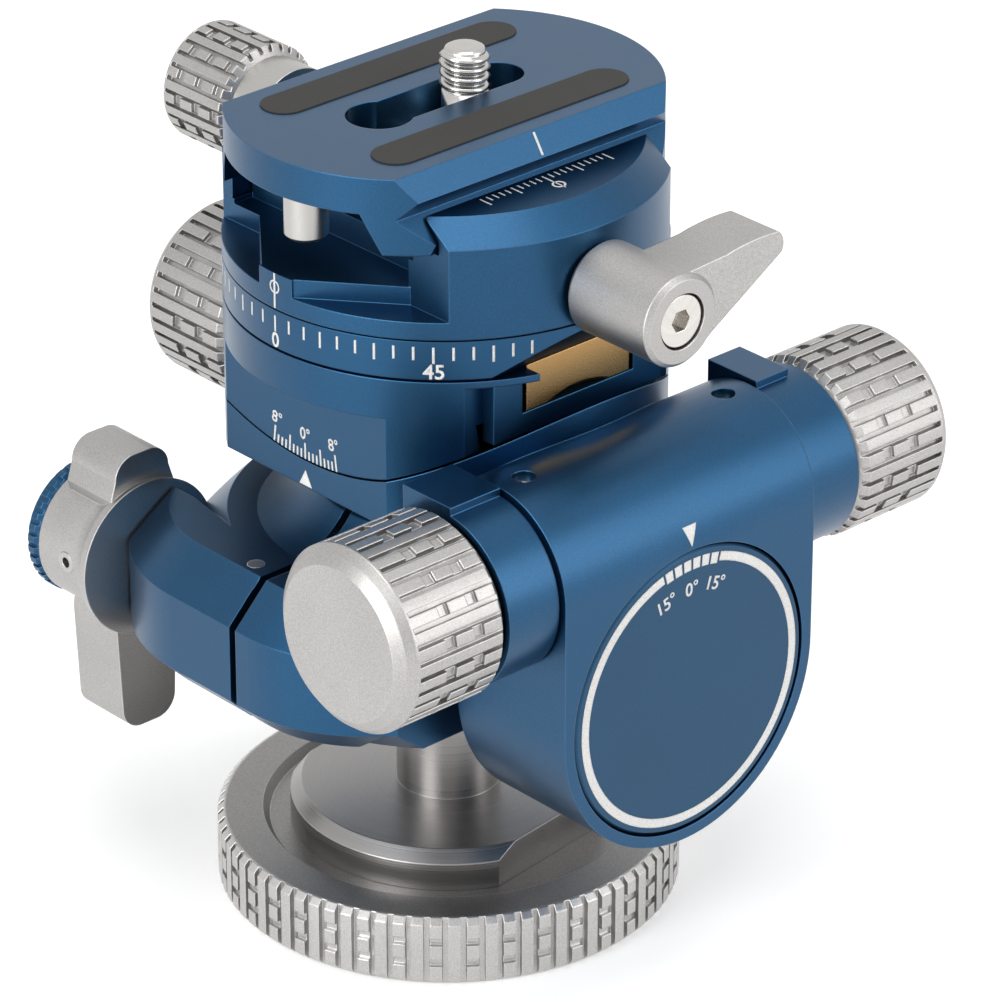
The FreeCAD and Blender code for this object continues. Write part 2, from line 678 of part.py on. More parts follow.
worm_sleeve("worm_sleeve_left", -1)
worm_sleeve("worm_sleeve_right", 1)

knob_radius = size("knob_radius", 11.9)
knob_length = size("knob_length", 16.6)
knob_start = sleeve_end + side_gap
knob_knurls = size("knob_knurl_count", 18)
worm_shaft("tilt_worm_shaft", "X", worm_radius, -knob_start - 12, knob_start + 12, shaft_radius,
           worm_turns, (0, drive_y, worm_height))


def knob(name, radius, length, bore, at, turn, count, notches, edge=1.3):
    """A knurled knob with a bevelled flat face; its shaft enters from below."""
    body = turned(name, [[
        (bore, 0), (radius - 1.4, 0), (radius, edge), (radius, length - edge * 1.6),
        (radius - 0.8, length - edge * 0.8), (radius - 2.1, length), (0, length),
        (0, length * 0.72), (bore, length * 0.72)]], at, turn)
    knurl(body, radius, as_size(-0.5), length - edge * 1.9, count, knurl_depth, notches)
    return body


knob("tilt_knob_left", knob_radius, knob_length, shaft_radius,
     (-knob_start, drive_y, worm_height), ALONG_MINUS_X, knob_knurls, (0.36, 0.66))
knob("tilt_knob_right", knob_radius, knob_length, shaft_radius,
     (knob_start, drive_y, worm_height), ALONG_X, knob_knurls, (0.36, 0.66))

# Roll cradle: rails on the housing, and a block that swings over them with its brass sector
rail_inner = size("rail_inner", 11.0)
rail_width = size("rail_width", 3.0)
rail_height = size("rail_height", 3.2)
rail_spread = size("rail_flare", 0.8)
rail_angle = size("rail_angle", 34)
rail_gap = size("rail_gap", 0.15)
block_top = size("block_top", 83.3)
seam_gap = size("seam_gap", 0.3)
block_seam = seam_radius - seam_gap
sector_half = size("sector_half_width", 8.5)
sector_inner = size("sector_inner_radius", 35.1)
sector_lip = size("sector_lip", 2.4)
sector_angle = size("sector_angle", 90)
window_y = size("window_y", 24.0)
cover_depth = size("cover_depth", 2.0)
window_low = size("window_low", 77.4)
throat = size("sector_throat_radius", 16.0)


def rail_profile(side, grow):
    """A dovetail rail's section across the seam, as (x, distance below the roll axis)."""
    inner = rail_inner - grow
    outer = rail_inner + rail_width + grow
    foot = seam_radius + grow
    crest = seam_radius - rail_height - grow
    return [
        (inner * side, -foot), (outer * side, -foot), ((outer + rail_spread) * side, -crest),
        ((inner - rail_spread) * side, -crest)]


for name, side in (("guide_rail_left", -1), ("guide_rail_right", 1)):
    rail = new_body(name, at=(0, 0, roll_height))
    revolve(rail, "XZ", [rail_profile(side, as_size(0))], "H_Axis", angle=rail_angle)

roll_block = new_body("roll_block", at=(0, 0, roll_height))
ledge = cradle_top - roll_height
pad(roll_block, "XY", [(0, 0, cradle_radius)], -seam_radius, block_top - roll_height)
for side in (1, -1):
    pocket(roll_block, "XY", [box(cradle_flat * side, -wide, wide * side, wide)], -seam_radius - 1, ledge)
pocket(roll_block, "YZ", [[
    (-wide, 0), (-block_seam, 0), (0, -block_seam, block_seam), (block_seam, 0, block_seam),
    (wide, 0), (wide, -wide), (-wide, -wide)]], -wide, wide)
flat_top = size("window_flat_top", 82.4)
pocket(roll_block, "XZ", [box(-wide, -wide, wide, flat_top - roll_height)],
       -wide, cover_depth - window_y)
slot = [
    (-sector_half, -block_seam - 2), (sector_half, -block_seam - 2), (sector_half, -sector_inner),
    (-sector_half, -sector_inner)]
groove(roll_block, "XZ", [slot], "H_Axis")
for side in (1, -1):
    groove(roll_block, "XZ", [rail_profile(side, rail_gap)], "H_Axis")
spindle_radius = size("spindle_radius", 11.0)
spindle_flange = size("spindle_flange_radius", 16.0)
flange_depth = size("spindle_flange_depth", 2.5)
pocket(roll_block, "XY", [(0, 0, spindle_flange)],
       block_top - flange_depth - roll_height, block_top - roll_height + 1)

# Window cover: a plate on the block's flat, open where the end of the sector shows
cover_half = leg(cradle_radius, window_y)
cover = new_body("window_cover", at=(0, 0, roll_height))
cover_low = -leg(block_seam, window_y)
window_half = size("window_half_width", 9.2)
pad(cover, "XZ", [[
    (-cover_half, cover_low), (cover_half, cover_low), (cover_half, flat_top - roll_height),
    (window_half, flat_top - roll_height), (window_half, window_low - roll_height),
    (-window_half, window_low - roll_height), (-window_half, flat_top - roll_height),
    (-cover_half, flat_top - roll_height)]], -window_y, cover_depth - window_y)

sector = new_body("roll_sector", at=(0, 0, roll_height))
tooth_tip = sector_pitch + addendum
sector_loop = [
    (-sector_half, -sector_inner), (-sector_half, -tooth_tip - sector_lip),
    (sector_half, -tooth_tip - sector_lip, -throat), (sector_half, -sector_inner)]
revolve(sector, "XZ", [sector_loop], "H_Axis", angle=sector_angle)
for side in (1, -1):
    pocket(sector, "XY", [box(-wide, window_y * side, wide, wide * side)], -wide, 0)
    pocket(sector, "XY", [box(-wide, (window_y - cover_depth - 0.1) * side, wide, wide * side)],
           -wide, window_low - roll_height + 0.1)


def sector_gap():
    """A tooth gap of the sector, drawn below the roll axis."""
    root = sector_pitch - dedendum
    over = 0.5
    return [
        (-slot_half(-dedendum), -root), (-slot_half(addendum + over), -tooth_tip - over),
        (slot_half(addendum + over), -tooth_tip - over), (slot_half(-dedendum), -root)]


roll_lead_angle = math.degrees(math.atan(lead.value / (2 * math.pi * roll_worm_radius.value)))
side_gaps = size("sector_gaps_each_way", 9)
first_gap = -360 * side_gaps.value / sector_teeth.value
gaps_drawing = sketch(sector, "YZ", [sector_gap()])
gaps_drawing.AttachmentOffset = FreeCAD.Placement(
    Vector(0, 0, 0),
    FreeCAD.Rotation(Vector(0, 0, 1), first_gap) * FreeCAD.Rotation(Vector(0, 1, 0), roll_lead_angle))
sector_cut = sector.newObject("PartDesign::Pocket", "ToothGap")
sector_cut.Profile = gaps_drawing
sector_cut.Midplane = True
bind(sector_cut, "Length", roll_worm_radius * 2.6)
sector_teeth_row = sector.newObject("PartDesign::PolarPattern", "Teeth")
sector_teeth_row.Originals = [sector_cut]
sector_teeth_row.Axis = (origin_part(sector, "X_Axis"), [""])
bind(sector_teeth_row, "Angle", 720 / sector_teeth * side_gaps)
bind(sector_teeth_row, "Occurrences", side_gaps * 2 + 1)
sector.Tip = sector_teeth_row

# Roll worm along Y, in a bush at its knob's end and a blind bore at the other
worm_shaft("roll_worm_shaft", "Y", roll_worm_radius, as_size(-24), knob_start + 12,
           roll_shaft_radius, worm_turns, (0, 0, roll_worm_height))
roll_bush = new_body("roll_worm_bush", at=(0, 0, roll_worm_height))
bush_low = size("roll_bush_inner_end", 20.5)
bush_flange = size("roll_bush_flange", 6.0)
revolve(roll_bush, "XY", [[
    (roll_shaft_radius + run_gap, bush_low), (roll_bush_radius, bush_low),
    (roll_bush_radius, cradle_radius + 0.1), (bush_flange, cradle_radius + 0.1),
    (bush_flange, cradle_radius + 1.1), (roll_shaft_radius + run_gap, cradle_radius + 1.1)]])
knob("roll_knob", knob_radius, knob_length, roll_shaft_radius,
     (0, knob_start, roll_worm_height), ALONG_Y, knob_knurls, (0.36, 0.66))

# Pan: a spindle through the scale ring, and the clamp body turning on it
ring_top = size("scale_ring_top", 88.7)
pan_bottom = size("pan_body_bottom", 88.9)
pan_radius = size("pan_radius", 27.7)
spindle_top = size("spindle_top", 95.0)
cap_radius = size("spindle_cap_radius", 13.6)
cap_depth = size("spindle_cap_depth", 1.6)
scale_ring = turned("pan_scale_ring", [[
    (spindle_radius, block_top), (pan_radius - 0.4, block_top), (pan_radius, block_top + 0.4),
    (pan_radius, ring_top), (spindle_radius, ring_top)]])
sector_room = sector_inner - 0.1
ring_cut_y = window_y - cover_depth
ring_cut_top = roll_height - leg(sector_room, pan_radius + 0.2)
pocket(scale_ring, "YZ", [[
    (-ring_cut_y, roll_height - leg(sector_room, ring_cut_y)),
    (-pan_radius - 0.2, ring_cut_top, -sector_room), (-wide, ring_cut_top),
    (-wide, roll_height - leg(sector_room, ring_cut_y))]], -wide, wide)
turned("pan_spindle", [[
    (0, block_top - flange_depth), (spindle_flange, block_top - flange_depth),
    (spindle_flange, block_top), (spindle_radius, block_top), (spindle_radius, spindle_top),
    (0, spindle_top)]])
spindle_cap = turned("pan_spindle_cap", [[
    (0, spindle_top), (cap_radius, spindle_top), (cap_radius, spindle_top + cap_depth),
    (0, spindle_top + cap_depth)]])
pocket(spindle_cap, "XY", [(7, 0, 1.2), (-7, 0, 1.2)], spindle_top + 0.4, spindle_top + 2)

jaw_top = size("jaw_top", 103.7)
rail_seat = size("plate_rail_bottom", 99.5)
channel_floor = size("channel_floor", 97.2)
end_floor = size("channel_end_floor", 93.6)
shelf = size("corner_shelf", 91.2)
jaw_end = size("jaw_end_x", 18.2)
jaw_lip = size("jaw_lip_y", 16.6)
jaw_root = size("jaw_root_y", 19.1)
jaw_root_top = size("jaw_root_top", 101.2)
jaw_bevel_top = size("jaw_bevel_top_radius", 24.5)
jaw_bevel_low = size("jaw_bevel_low", 100.6)
moving_jaw_bottom = size("moving_jaw_bottom", 94.3)
middle_half = size("channel_middle_half", 15.2)
body_ledge = size("body_ledge_y", 18.8)
pan_lock_height = size("pan_lock_height", 93.0)
pad_radius = size("brake_pad_radius", 1.9)
pad_length = size("brake_pad_length", 2.8)
lock_screw_radius = size("lock_screw_radius", 2.5)
jaw_screw_height = size("jaw_screw_height", 96.8)
jaw_screw_radius = size("jaw_screw_radius", 2.4)
jaw_guide_x = size("jaw_guide_x", 11.0)
jaw_guide_radius = size("jaw_guide_radius", 1.4)

pan_body = new_body("pan_clamp_body")
revolve(pan_body, "XZ", [[
    (spindle_radius + run_gap, pan_bottom), (pan_radius, pan_bottom), (pan_radius, jaw_bevel_low),
    (jaw_bevel_top, jaw_top), (0, jaw_top), (0, spindle_top - run_gap),
    (spindle_radius + run_gap, spindle_top - run_gap)]])
pocket(pan_body, "YZ", [[
    (-jaw_lip, jaw_top + 1), (-jaw_lip, jaw_top), (-jaw_root, jaw_root_top),
    (-jaw_root, rail_seat - run_gap), (-14.4, rail_seat - run_gap), (-14.4, channel_floor),
    (14.4, channel_floor), (14.4, rail_seat - run_gap), (body_ledge, rail_seat - run_gap),
    (body_ledge, jaw_top + 1)]], -wide, wide)
pocket(pan_body, "XY", [box(-wide, body_ledge, wide, wide)], moving_jaw_bottom - run_gap, jaw_top + 1)
for side in (1, -1):
    pocket(pan_body, "XY", [box(middle_half * side, -13.6, wide * side, body_ledge)], end_floor, jaw_top + 1)
    pocket(pan_body, "XY", [box(jaw_end * side, -wide, wide * side, wide)], end_floor, jaw_top + 1)
    for edge in (1, -1):
        pocket(pan_body, "XY", [[
            (27.2 * side, 3.0 * edge), (jaw_end * side, 14.0 * edge), (jaw_end * side, wide * edge),
            (wide * side, wide * edge), (wide * side, 3.0 * edge)]], shelf, jaw_top)
pocket(pan_body, "XY", [(0, 0, cap_radius + 0.2)], spindle_top - run_gap, channel_floor + 1)
brake_end = spindle_radius + pad_length
pocket(pan_body, "XZ", [(0, pan_lock_height, pad_radius)], -wide, 1 - spindle_radius)
pocket(pan_body, "XZ", [(0, pan_lock_height, lock_screw_radius + run_gap)], -wide, -brake_end)
pocket(pan_body, "XZ", [(0, jaw_screw_height, jaw_screw_radius + run_gap)], 14.6, wide)
for side in (1, -1):
    pocket(pan_body, "XZ", [(jaw_guide_x * side, jaw_screw_height, jaw_guide_radius)], 14.6, wide)

brake_pad = new_body("pan_brake_pad", at=(0, 0, pan_lock_height))
pad(brake_pad, "XZ", [(0, 0, pad_radius)], -brake_end, 0.5 - spindle_radius)
pocket(brake_pad, "XY", [(0, 0, spindle_radius + run_gap)], -4, 4)
guide_pins = new_body("jaw_guide_pins", at=(0, 0, jaw_screw_height))
for side in (1, -1):
    pad(guide_pins, "XZ", [(jaw_guide_x * side, 0, jaw_guide_radius)], 14.6, 23)

# Pan lever: a hub on the lock screw with a paddle, and the cap screw in its face
pan_hub = size("pan_lever_hub_radius", 5.9)
pan_hub_end = size("pan_lever_hub_end", 42.0)
pan_hub_start = pan_radius + 0.2
paddle_low = size("paddle_low", 33.0)
pan_lever = new_body("pan_lever", at=(0, 0, pan_lock_height))
revolve(pan_lever, "XY", [[
    (lock_screw_radius, -pan_hub_start), (pan_hub - 0.5, -pan_hub_start),
    (pan_hub, -pan_hub_start - 0.6), (pan_hub, 0.6 - pan_hub_end), (pan_hub - 0.6, -pan_hub_end),
    (3.6, -pan_hub_end), (3.6, 3 - pan_hub_end), (lock_screw_radius, 3 - pan_hub_end)]])
pad(pan_lever, "XZ", [[
    (0, pan_hub - 0.3), (1, -pan_hub + 0.2), (5.6, -3.4, 12), (17.2, 3.6), (16.6, 6.4, 2.2),
    (8, 6.0, 30)]], 0.8 - pan_hub_end, -paddle_low)
pocket(pan_lever, "XZ", [(0, 0, 3.6)], -pan_hub_end, 3 - pan_hub_end)
pocket(pan_lever, "XZ", [(0, 0, lock_screw_radius)], -pan_hub_end, -pan_hub_start)
lock_screw = new_body("pan_lock_screw", at=(0, 0, pan_lock_height))
pad(lock_screw, "XZ", [(0, 0, lock_screw_radius)], 3 - pan_hub_end, -brake_end - 0.1)
cap_screw = new_body("pan_lever_cap_screw", at=(0, 0, pan_lock_height))
pad(cap_screw, "XZ", [(0, 0, 3.3)], 0.3 - pan_hub_end, 3 - pan_hub_end)
hexagon = [(1.5 * math.cos(math.radians(60 * n)), 1.5 * math.sin(math.radians(60 * n))) for n in range(6)]
pocket(cap_screw, "XZ", [hexagon], -pan_hub_end, 2.3 - pan_hub_end)

# Moving jaw with its screw and knob
jaw = new_body("clamp_jaw")
revolve(jaw, "XZ", [[
    (0, moving_jaw_bottom), (pan_radius, moving_jaw_bottom), (pan_radius, jaw_bevel_low),
    (jaw_bevel_top, jaw_top), (0, jaw_top)]])
pocket(jaw, "YZ", [[
    (-wide, jaw_top + 1), (-wide, moving_jaw_bottom - 1), (jaw_root, moving_jaw_bottom - 1),
    (jaw_root, jaw_root_top), (jaw_lip, jaw_top), (jaw_lip, jaw_top + 1)]], -wide, wide)
for side in (1, -1):
    pocket(jaw, "XY", [box(jaw_end * side, -wide, wide * side, wide)], moving_jaw_bottom - 1, jaw_top + 1)
    pocket(jaw, "XZ", [(jaw_guide_x * side, jaw_screw_height, jaw_guide_radius + run_gap)], 10, 26.5)
pocket(jaw, "XZ", [(0, jaw_screw_height, jaw_screw_radius + run_gap)], 10, wide)
jaw_knob_radius = size("jaw_knob_radius", 7.9)
jaw_knob_start = size("jaw_knob_start", 33.4)
jaw_knob_length = size("jaw_knob_length", 12.8)
jaw_knob_knurls = size("jaw_knob_knurl_count", 14)
jaw_collar = size("jaw_collar_radius", 6.6)
knob("jaw_knob", jaw_knob_radius, jaw_knob_length, jaw_screw_radius,
     (0, jaw_knob_start, jaw_screw_height), ALONG_Y, jaw_knob_knurls, (0.2, 0.5, 0.8), edge=0.8)
jaw_screw = new_body("jaw_screw", at=(0, 0, jaw_screw_height))
revolve(jaw_screw, "XY", [[
    (0, 14.8), (jaw_screw_radius, 14.8), (jaw_screw_radius, pan_radius + side_gap),
    (jaw_collar, pan_radius + side_gap), (jaw_collar, jaw_knob_start),
    (jaw_screw_radius, jaw_knob_start), (jaw_screw_radius, jaw_knob_start + jaw_knob_length * 0.7),
    (0, jaw_knob_start + jaw_knob_length * 0.7)]])

# Camera plate: a dovetail bar with rounded ends, a slot and two rubber strips
plate_top = size("plate_top", 109.3)
plate_web = size("plate_web_bottom", 104.6)
plate_end_radius = size("plate_end_radius", 23.0)
plate_end_centre = size("plate_end_centre", 5.4)
plate_half = [
    (15.7, plate_top), (17.7, 106.3), (15.8, 104.0), (18.9, 100.8), (18.5, rail_seat),
    (14.6, rail_seat), (12.4, plate_web)]
plate = new_body("camera_plate")
mirrored_half = [(-y, z) for y, z in plate_half]
pad(plate, "YZ", [plate_half[::-1] + mirrored_half], -wide, wide)
end_y = size("plate_end_side", 19.5)
end_x = plate_end_centre + leg(plate_end_radius, end_y)
for side in (1, -1):
    bend = plate_end_radius * -side
    pocket(plate, "XY", [[
        (end_x * side, -end_y), (end_x * side, end_y, -bend), (end_x * side, wide),
        ((wide + 1) * side, wide), ((wide + 1) * side, -wide), (end_x * side, -wide)]],
        rail_seat - 1, plate_top + 1)
slot_low = size("plate_slot_low", -11.7)
slot_high = size("plate_slot_high", 11.9)
slot_half_width = size("plate_slot_half_width", 3.35)
entry_radius = size("plate_slot_entry_radius", 4.2)
pocket(plate, "XY", [[
    (slot_low, -slot_half_width), (slot_high - slot_half_width, -slot_half_width),
    (slot_high, 0, slot_half_width), (slot_high - slot_half_width, slot_half_width, slot_half_width),
    (slot_low, slot_half_width)]], plate_web - 1, plate_top + 1)
pocket(plate, "XY", [(slot_low + 1, 0, entry_radius)], plate_web - 1, plate_top + 1)
strip_y = size("strip_y", 10.2)
strip_half = size("strip_half_width", 3.0)
strip_reach = size("strip_half_length", 20.0)
strip_depth = size("strip_depth", 1.1)
strip_rise = size("strip_rise", 0.15)
stop_x = size("stop_pin_x", -22.5)
stop_radius = size("stop_pin_radius", 2.75)


def strip_outline(side):
    """The round-ended outline of one rubber strip in the plate's top."""
    straight = strip_reach - strip_half
    middle = strip_y * side
    low = middle - strip_half
    high = middle + strip_half
    return [
        (-straight, low, strip_half), (straight, low), (strip_reach, middle, strip_half),
        (straight, high, strip_half), (-straight, high), (-strip_reach, middle, strip_half)]


for side in (1, -1):
    pocket(plate, "XY", [strip_outline(side)], plate_top - strip_depth, plate_top + 1)
for name, side in (("rubber_strip_front", -1), ("rubber_strip_rear", 1)):
    strip = new_body(name)
    pad(strip, "XY", [strip_outline(side)], plate_top - strip_depth, plate_top + strip_rise)
stop_pin = turned("plate_stop_pin", [[
    (0, 97.0), (stop_radius - 0.5, 97.0), (stop_radius, 97.5), (stop_radius, plate_web),
    (1.6, plate_web), (1.6, plate_web + 2.5), (0, plate_web + 2.5)]], at=(stop_x, 0, 0))
pocket(plate, "XY", [(stop_x, 0, 1.6)], plate_web - 1, plate_web + 2.5)

# Camera screw: a shank through the slot, its head and washer under the plate
screw_x = size("camera_screw_x", 3.2)
screw_radius = size("camera_screw_radius", 3.17)
screw_neck = size("camera_screw_neck_radius", 2.9)
screw_top = size("camera_screw_top", 114.5)
screw_head_radius = size("camera_screw_head_radius", 6.4)
screw_head_low = size("camera_screw_head_low", 101.4)
washer_depth = size("camera_washer_depth", 0.5)
washer_top = plate_web - run_gap
turned("camera_screw_washer", [[
    (screw_radius + run_gap, washer_top - washer_depth), (screw_head_radius - 0.3, washer_top - washer_depth),
    (screw_head_radius - 0.3, washer_top), (screw_radius + run_gap, washer_top)]], at=(screw_x, 0, 0))
head_top = washer_top - washer_depth - run_gap
camera_screw = turned("camera_screw", [[
    (0, screw_head_low), (screw_head_radius - 0.5, screw_head_low),
    (screw_head_radius, screw_head_low + 0.5), (screw_head_radius, head_top), (screw_neck, head_top),
    (screw_neck, plate_top), (screw_radius, plate_top), (screw_radius, screw_top - 0.6),
    (screw_radius - 0.6, screw_top), (0, screw_top)]],
    at=(screw_x, 0, 0))
pocket(camera_screw, "XY", [box(-screw_head_radius, -0.7, screw_head_radius, 0.7)],
       screw_head_low - 1, screw_head_low + 1)

# Check every object and piece, then write one file for each piece
doc.recompute()
for item in doc.Objects:
    if "Invalid" in item.State or "Error" in item.State:
        raise RuntimeError("%s is %s" % (item.Name, item.State))
for body in pieces:
    if body.Shape.isNull() or not body.Shape.isValid():
        raise RuntimeError("%s has no valid shape" % body.Label)
os.makedirs("parts", exist_ok=True)
for body in pieces:
    body.Shape.exportStep("parts/%s.step" % body.Label)
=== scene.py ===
import math

import bmesh
import bpy
from mathutils import Matrix, Vector


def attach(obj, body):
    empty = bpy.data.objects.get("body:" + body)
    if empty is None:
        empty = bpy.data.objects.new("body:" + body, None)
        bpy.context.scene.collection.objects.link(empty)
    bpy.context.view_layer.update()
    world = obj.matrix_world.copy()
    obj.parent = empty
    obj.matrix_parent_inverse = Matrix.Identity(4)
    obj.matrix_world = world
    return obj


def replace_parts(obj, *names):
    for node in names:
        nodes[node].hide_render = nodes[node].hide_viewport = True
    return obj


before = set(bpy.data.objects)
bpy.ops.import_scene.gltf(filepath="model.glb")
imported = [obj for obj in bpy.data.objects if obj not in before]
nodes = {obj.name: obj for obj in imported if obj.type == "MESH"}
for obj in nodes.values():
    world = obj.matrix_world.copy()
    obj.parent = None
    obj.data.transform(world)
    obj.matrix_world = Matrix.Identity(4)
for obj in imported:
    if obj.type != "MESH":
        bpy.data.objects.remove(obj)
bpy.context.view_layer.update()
MM = 0.001

# Camera, lamps and floor. The head stands on a white sweep between two large softboxes, with a
# third overhead, and a long lens looks down on it from the side of its dial and its left knob.
AIM = Vector((4.927, -4.490, 53.335)) * MM
REACH = 725.574 * MM
TURN, RISE = math.radians(42.345), math.radians(27.237)
lens = bpy.data.cameras.new("studio_camera")
camera = bpy.data.objects.new("studio_camera", lens)
bpy.context.scene.collection.objects.link(camera)
camera.location = AIM + REACH * Vector((
    -math.cos(RISE) * math.sin(TURN), -math.cos(RISE) * math.cos(TURN), math.sin(RISE)))
camera.rotation_euler = (AIM - camera.location).to_track_quat("-Z", "Y").to_euler()
lens.sensor_width = 36
lens.lens = 206.86
lens.clip_start = 0.01
bpy.context.scene.camera = camera
bpy.context.scene.view_settings.view_transform = "Standard"


def softbox(name, place, width, height, power):
    """A rectangular lamp that faces the middle of the head."""
    data = bpy.data.lights.new(name, "AREA")
    data.shape = "RECTANGLE"
    data.size, data.size_y, data.energy = width, height, power
    lamp = bpy.data.objects.new(name, data)
    bpy.context.scene.collection.objects.link(lamp)
    lamp.location = place
    lamp.rotation_euler = (AIM - Vector(place)).to_track_quat("-Z", "Y").to_euler()


softbox("overhead_softbox", (-0.05, -0.15, 0.95), 0.7, 0.7, 4.6)
softbox("left_softbox", (-0.95, -0.10, 0.35), 0.5, 0.8, 7.5)
softbox("right_softbox", (0.50, -0.90, 0.45), 0.5, 0.8, 3.8)


def camera_or_gloss(tree):
    """A value above zero for rays from the camera or off a glossy face, and zero for others."""
    ray = tree.nodes.new("ShaderNodeLightPath")
    seen = tree.nodes.new("ShaderNodeMath")
    seen.operation = "ADD"
    tree.links.new(ray.outputs["Is Camera Ray"], seen.inputs[0])
    tree.links.new(ray.outputs["Is Glossy Ray"], seen.inputs[1])
    return seen.outputs["Value"]


SURROUND_GLOW, PAPER_GLOW, FLOOR_DROP = 0.36, 0.35, 0.2 * MM
world = bpy.data.worlds.new("studio")
bpy.context.scene.world = world
world.use_nodes = True
sky = world.node_tree
background = sky.nodes["Background"]
background.inputs["Color"].default_value = (1, 1, 1, 1)
glow = sky.nodes.new("ShaderNodeMapRange")
glow.inputs["To Min"].default_value = SURROUND_GLOW
glow.inputs["To Max"].default_value = 1.0
sky.links.new(camera_or_gloss(sky), glow.inputs["Value"])
sky.links.new(glow.outputs["Result"], background.inputs["Strength"])

sweep = bpy.data.meshes.new("studio_floor")
sweep.from_pydata([(-6, -6, 0), (6, -6, 0), (6, 6, 0), (-6, 6, 0)], [], [(0, 1, 2, 3)])
floor = bpy.data.objects.new("studio_floor", sweep)
bpy.context.scene.collection.objects.link(floor)
floor.location.z = -FLOOR_DROP
paper = bpy.data.materials.new("white_paper")
paper.use_nodes = True
shade = paper.node_tree.nodes["Principled BSDF"]
shade.inputs["Base Color"].default_value = (0.9, 0.9, 0.9, 1)
shade.inputs["Roughness"].default_value = 0.9
shade.inputs["Emission Color"].default_value = (1, 1, 1, 1)
lift = paper.node_tree.nodes.new("ShaderNodeMath")
lift.operation = "MULTIPLY"
lift.inputs[1].default_value = PAPER_GLOW
paper.node_tree.links.new(camera_or_gloss(paper.node_tree), lift.inputs[0])
paper.node_tree.links.new(lift.outputs["Value"], shade.inputs["Emission Strength"])
sweep.materials.append(paper)


# Base disc and ball stem. Both are turned from bare aluminium. The disc is knurled round its rim
# and blasted with glass beads, the stem keeps the fine rings of the lathe, and the bore takes the
# tripod's 3/8 inch screw.
SKIN_OUTPUTS = (("Colour", "NodeSocketColor"), ("Roughness", "NodeSocketFloat"),
                ("Normal", "NodeSocketVector"))


def shader_group(name, inputs):
    """An empty shader node group for a skin, and its input and output nodes."""
    tree = bpy.data.node_groups.new(name, "ShaderNodeTree")
    for label, kind, value in inputs:
        socket = tree.interface.new_socket(label, in_out="INPUT", socket_type=kind)
        socket.default_value = value
    for label, kind in SKIN_OUTPUTS:
        tree.interface.new_socket(label, in_out="OUTPUT", socket_type=kind)
    return tree, tree.nodes.new("NodeGroupInput"), tree.nodes.new("NodeGroupOutput")


def math_node(tree, operation, first, second=None, clamp=False):
    """The result of a maths node; first and second are each a socket or a number."""
    node = tree.nodes.new("ShaderNodeMath")
    node.operation = operation
    node.use_clamp = clamp
    for socket, value in zip(node.inputs, (first, second)):
        if isinstance(value, bpy.types.NodeSocket):
            tree.links.new(value, socket)
        elif value is not None:
            socket.default_value = value
    return node.outputs["Value"]


# The skin that glass beads leave: fine pits and a slow change of tone, with paler edges that are a
# painted highlight where the rounded edges would catch the light
blasted, given, result = shader_group("bead_blasted_skin", [
    ("Colour", "NodeSocketColor", (0.5, 0.5, 0.5, 1)),
    ("Edge Colour", "NodeSocketColor", (0.8, 0.8, 0.8, 1)),
    ("Edge Wear", "NodeSocketFloat", 0.4),
    ("Edge Radius", "NodeSocketFloat", 0.00025),
    ("Roughness", "NodeSocketFloat", 0.4),
    ("Pit Scale", "NodeSocketFloat", 7000.0),
    ("Pit Depth", "NodeSocketFloat", 0.15),
])
place = blasted.nodes.new("ShaderNodeTexCoord")
pits = blasted.nodes.new("ShaderNodeTexNoise")
pits.inputs["Detail"].default_value = 3
blasted.links.new(place.outputs["Object"], pits.inputs["Vector"])
blasted.links.new(given.outputs["Pit Scale"], pits.inputs["Scale"])
tone = blasted.nodes.new("ShaderNodeTexNoise")
tone.inputs["Scale"].default_value = 60
tone.inputs["Detail"].default_value = 4
blasted.links.new(place.outputs["Object"], tone.inputs["Vector"])
rounded = blasted.nodes.new("ShaderNodeBevel")
rounded.samples = 8
blasted.links.new(given.outputs["Edge Radius"], rounded.inputs["Radius"])
facing = blasted.nodes.new("ShaderNodeNewGeometry")
same = blasted.nodes.new("ShaderNodeVectorMath")
same.operation = "DOT_PRODUCT"
blasted.links.new(rounded.outputs["Normal"], same.inputs[0])
blasted.links.new(facing.outputs["Normal"], same.inputs[1])
# Painted highlight: where the rounded normal turns away from the face's own normal, the colour is
# mixed towards the paler edge colour
corner = blasted.nodes.new("ShaderNodeMapRange")
corner.inputs["From Min"].default_value = 0.985
corner.inputs["From Max"].default_value = 0.90
blasted.links.new(same.outputs["Value"], corner.inputs["Value"])
edge_highlight_share = math_node(blasted, "MULTIPLY", corner.outputs["Result"], given.outputs["Edge Wear"], True)
speck = blasted.nodes.new("ShaderNodeMapRange")
speck.inputs["From Min"].default_value = 0.3
speck.inputs["From Max"].default_value = 0.7
speck.inputs["To Min"].default_value = 0.80
speck.inputs["To Max"].default_value = 1.20
blasted.links.new(pits.outputs["Fac"], speck.inputs["Value"])
slow = blasted.nodes.new("ShaderNodeMapRange")
slow.inputs["From Min"].default_value = 0.3
slow.inputs["From Max"].default_value = 0.7
slow.inputs["To Min"].default_value = 0.95
slow.inputs["To Max"].default_value = 1.05
blasted.links.new(tone.outputs["Fac"], slow.inputs["Value"])
level = math_node(blasted, "MULTIPLY", speck.outputs["Result"], slow.outputs["Result"])
dusted = blasted.nodes.new("ShaderNodeVectorMath")
dusted.operation = "SCALE"
blasted.links.new(given.outputs["Colour"], dusted.inputs[0])
blasted.links.new(level, dusted.inputs["Scale"])
blend = blasted.nodes.new("ShaderNodeMix")
blend.data_type = "RGBA"
blasted.links.new(edge_highlight_share, blend.inputs["Factor"])
blasted.links.new(dusted.outputs["Vector"], blend.inputs["A"])
blasted.links.new(given.outputs["Edge Colour"], blend.inputs["B"])
blasted.links.new(blend.outputs["Result"], result.inputs["Colour"])
rough = blasted.nodes.new("ShaderNodeMapRange")
rough.inputs["From Min"].default_value = 0.3
rough.inputs["From Max"].default_value = 0.7
rough.inputs["To Min"].default_value = -0.04
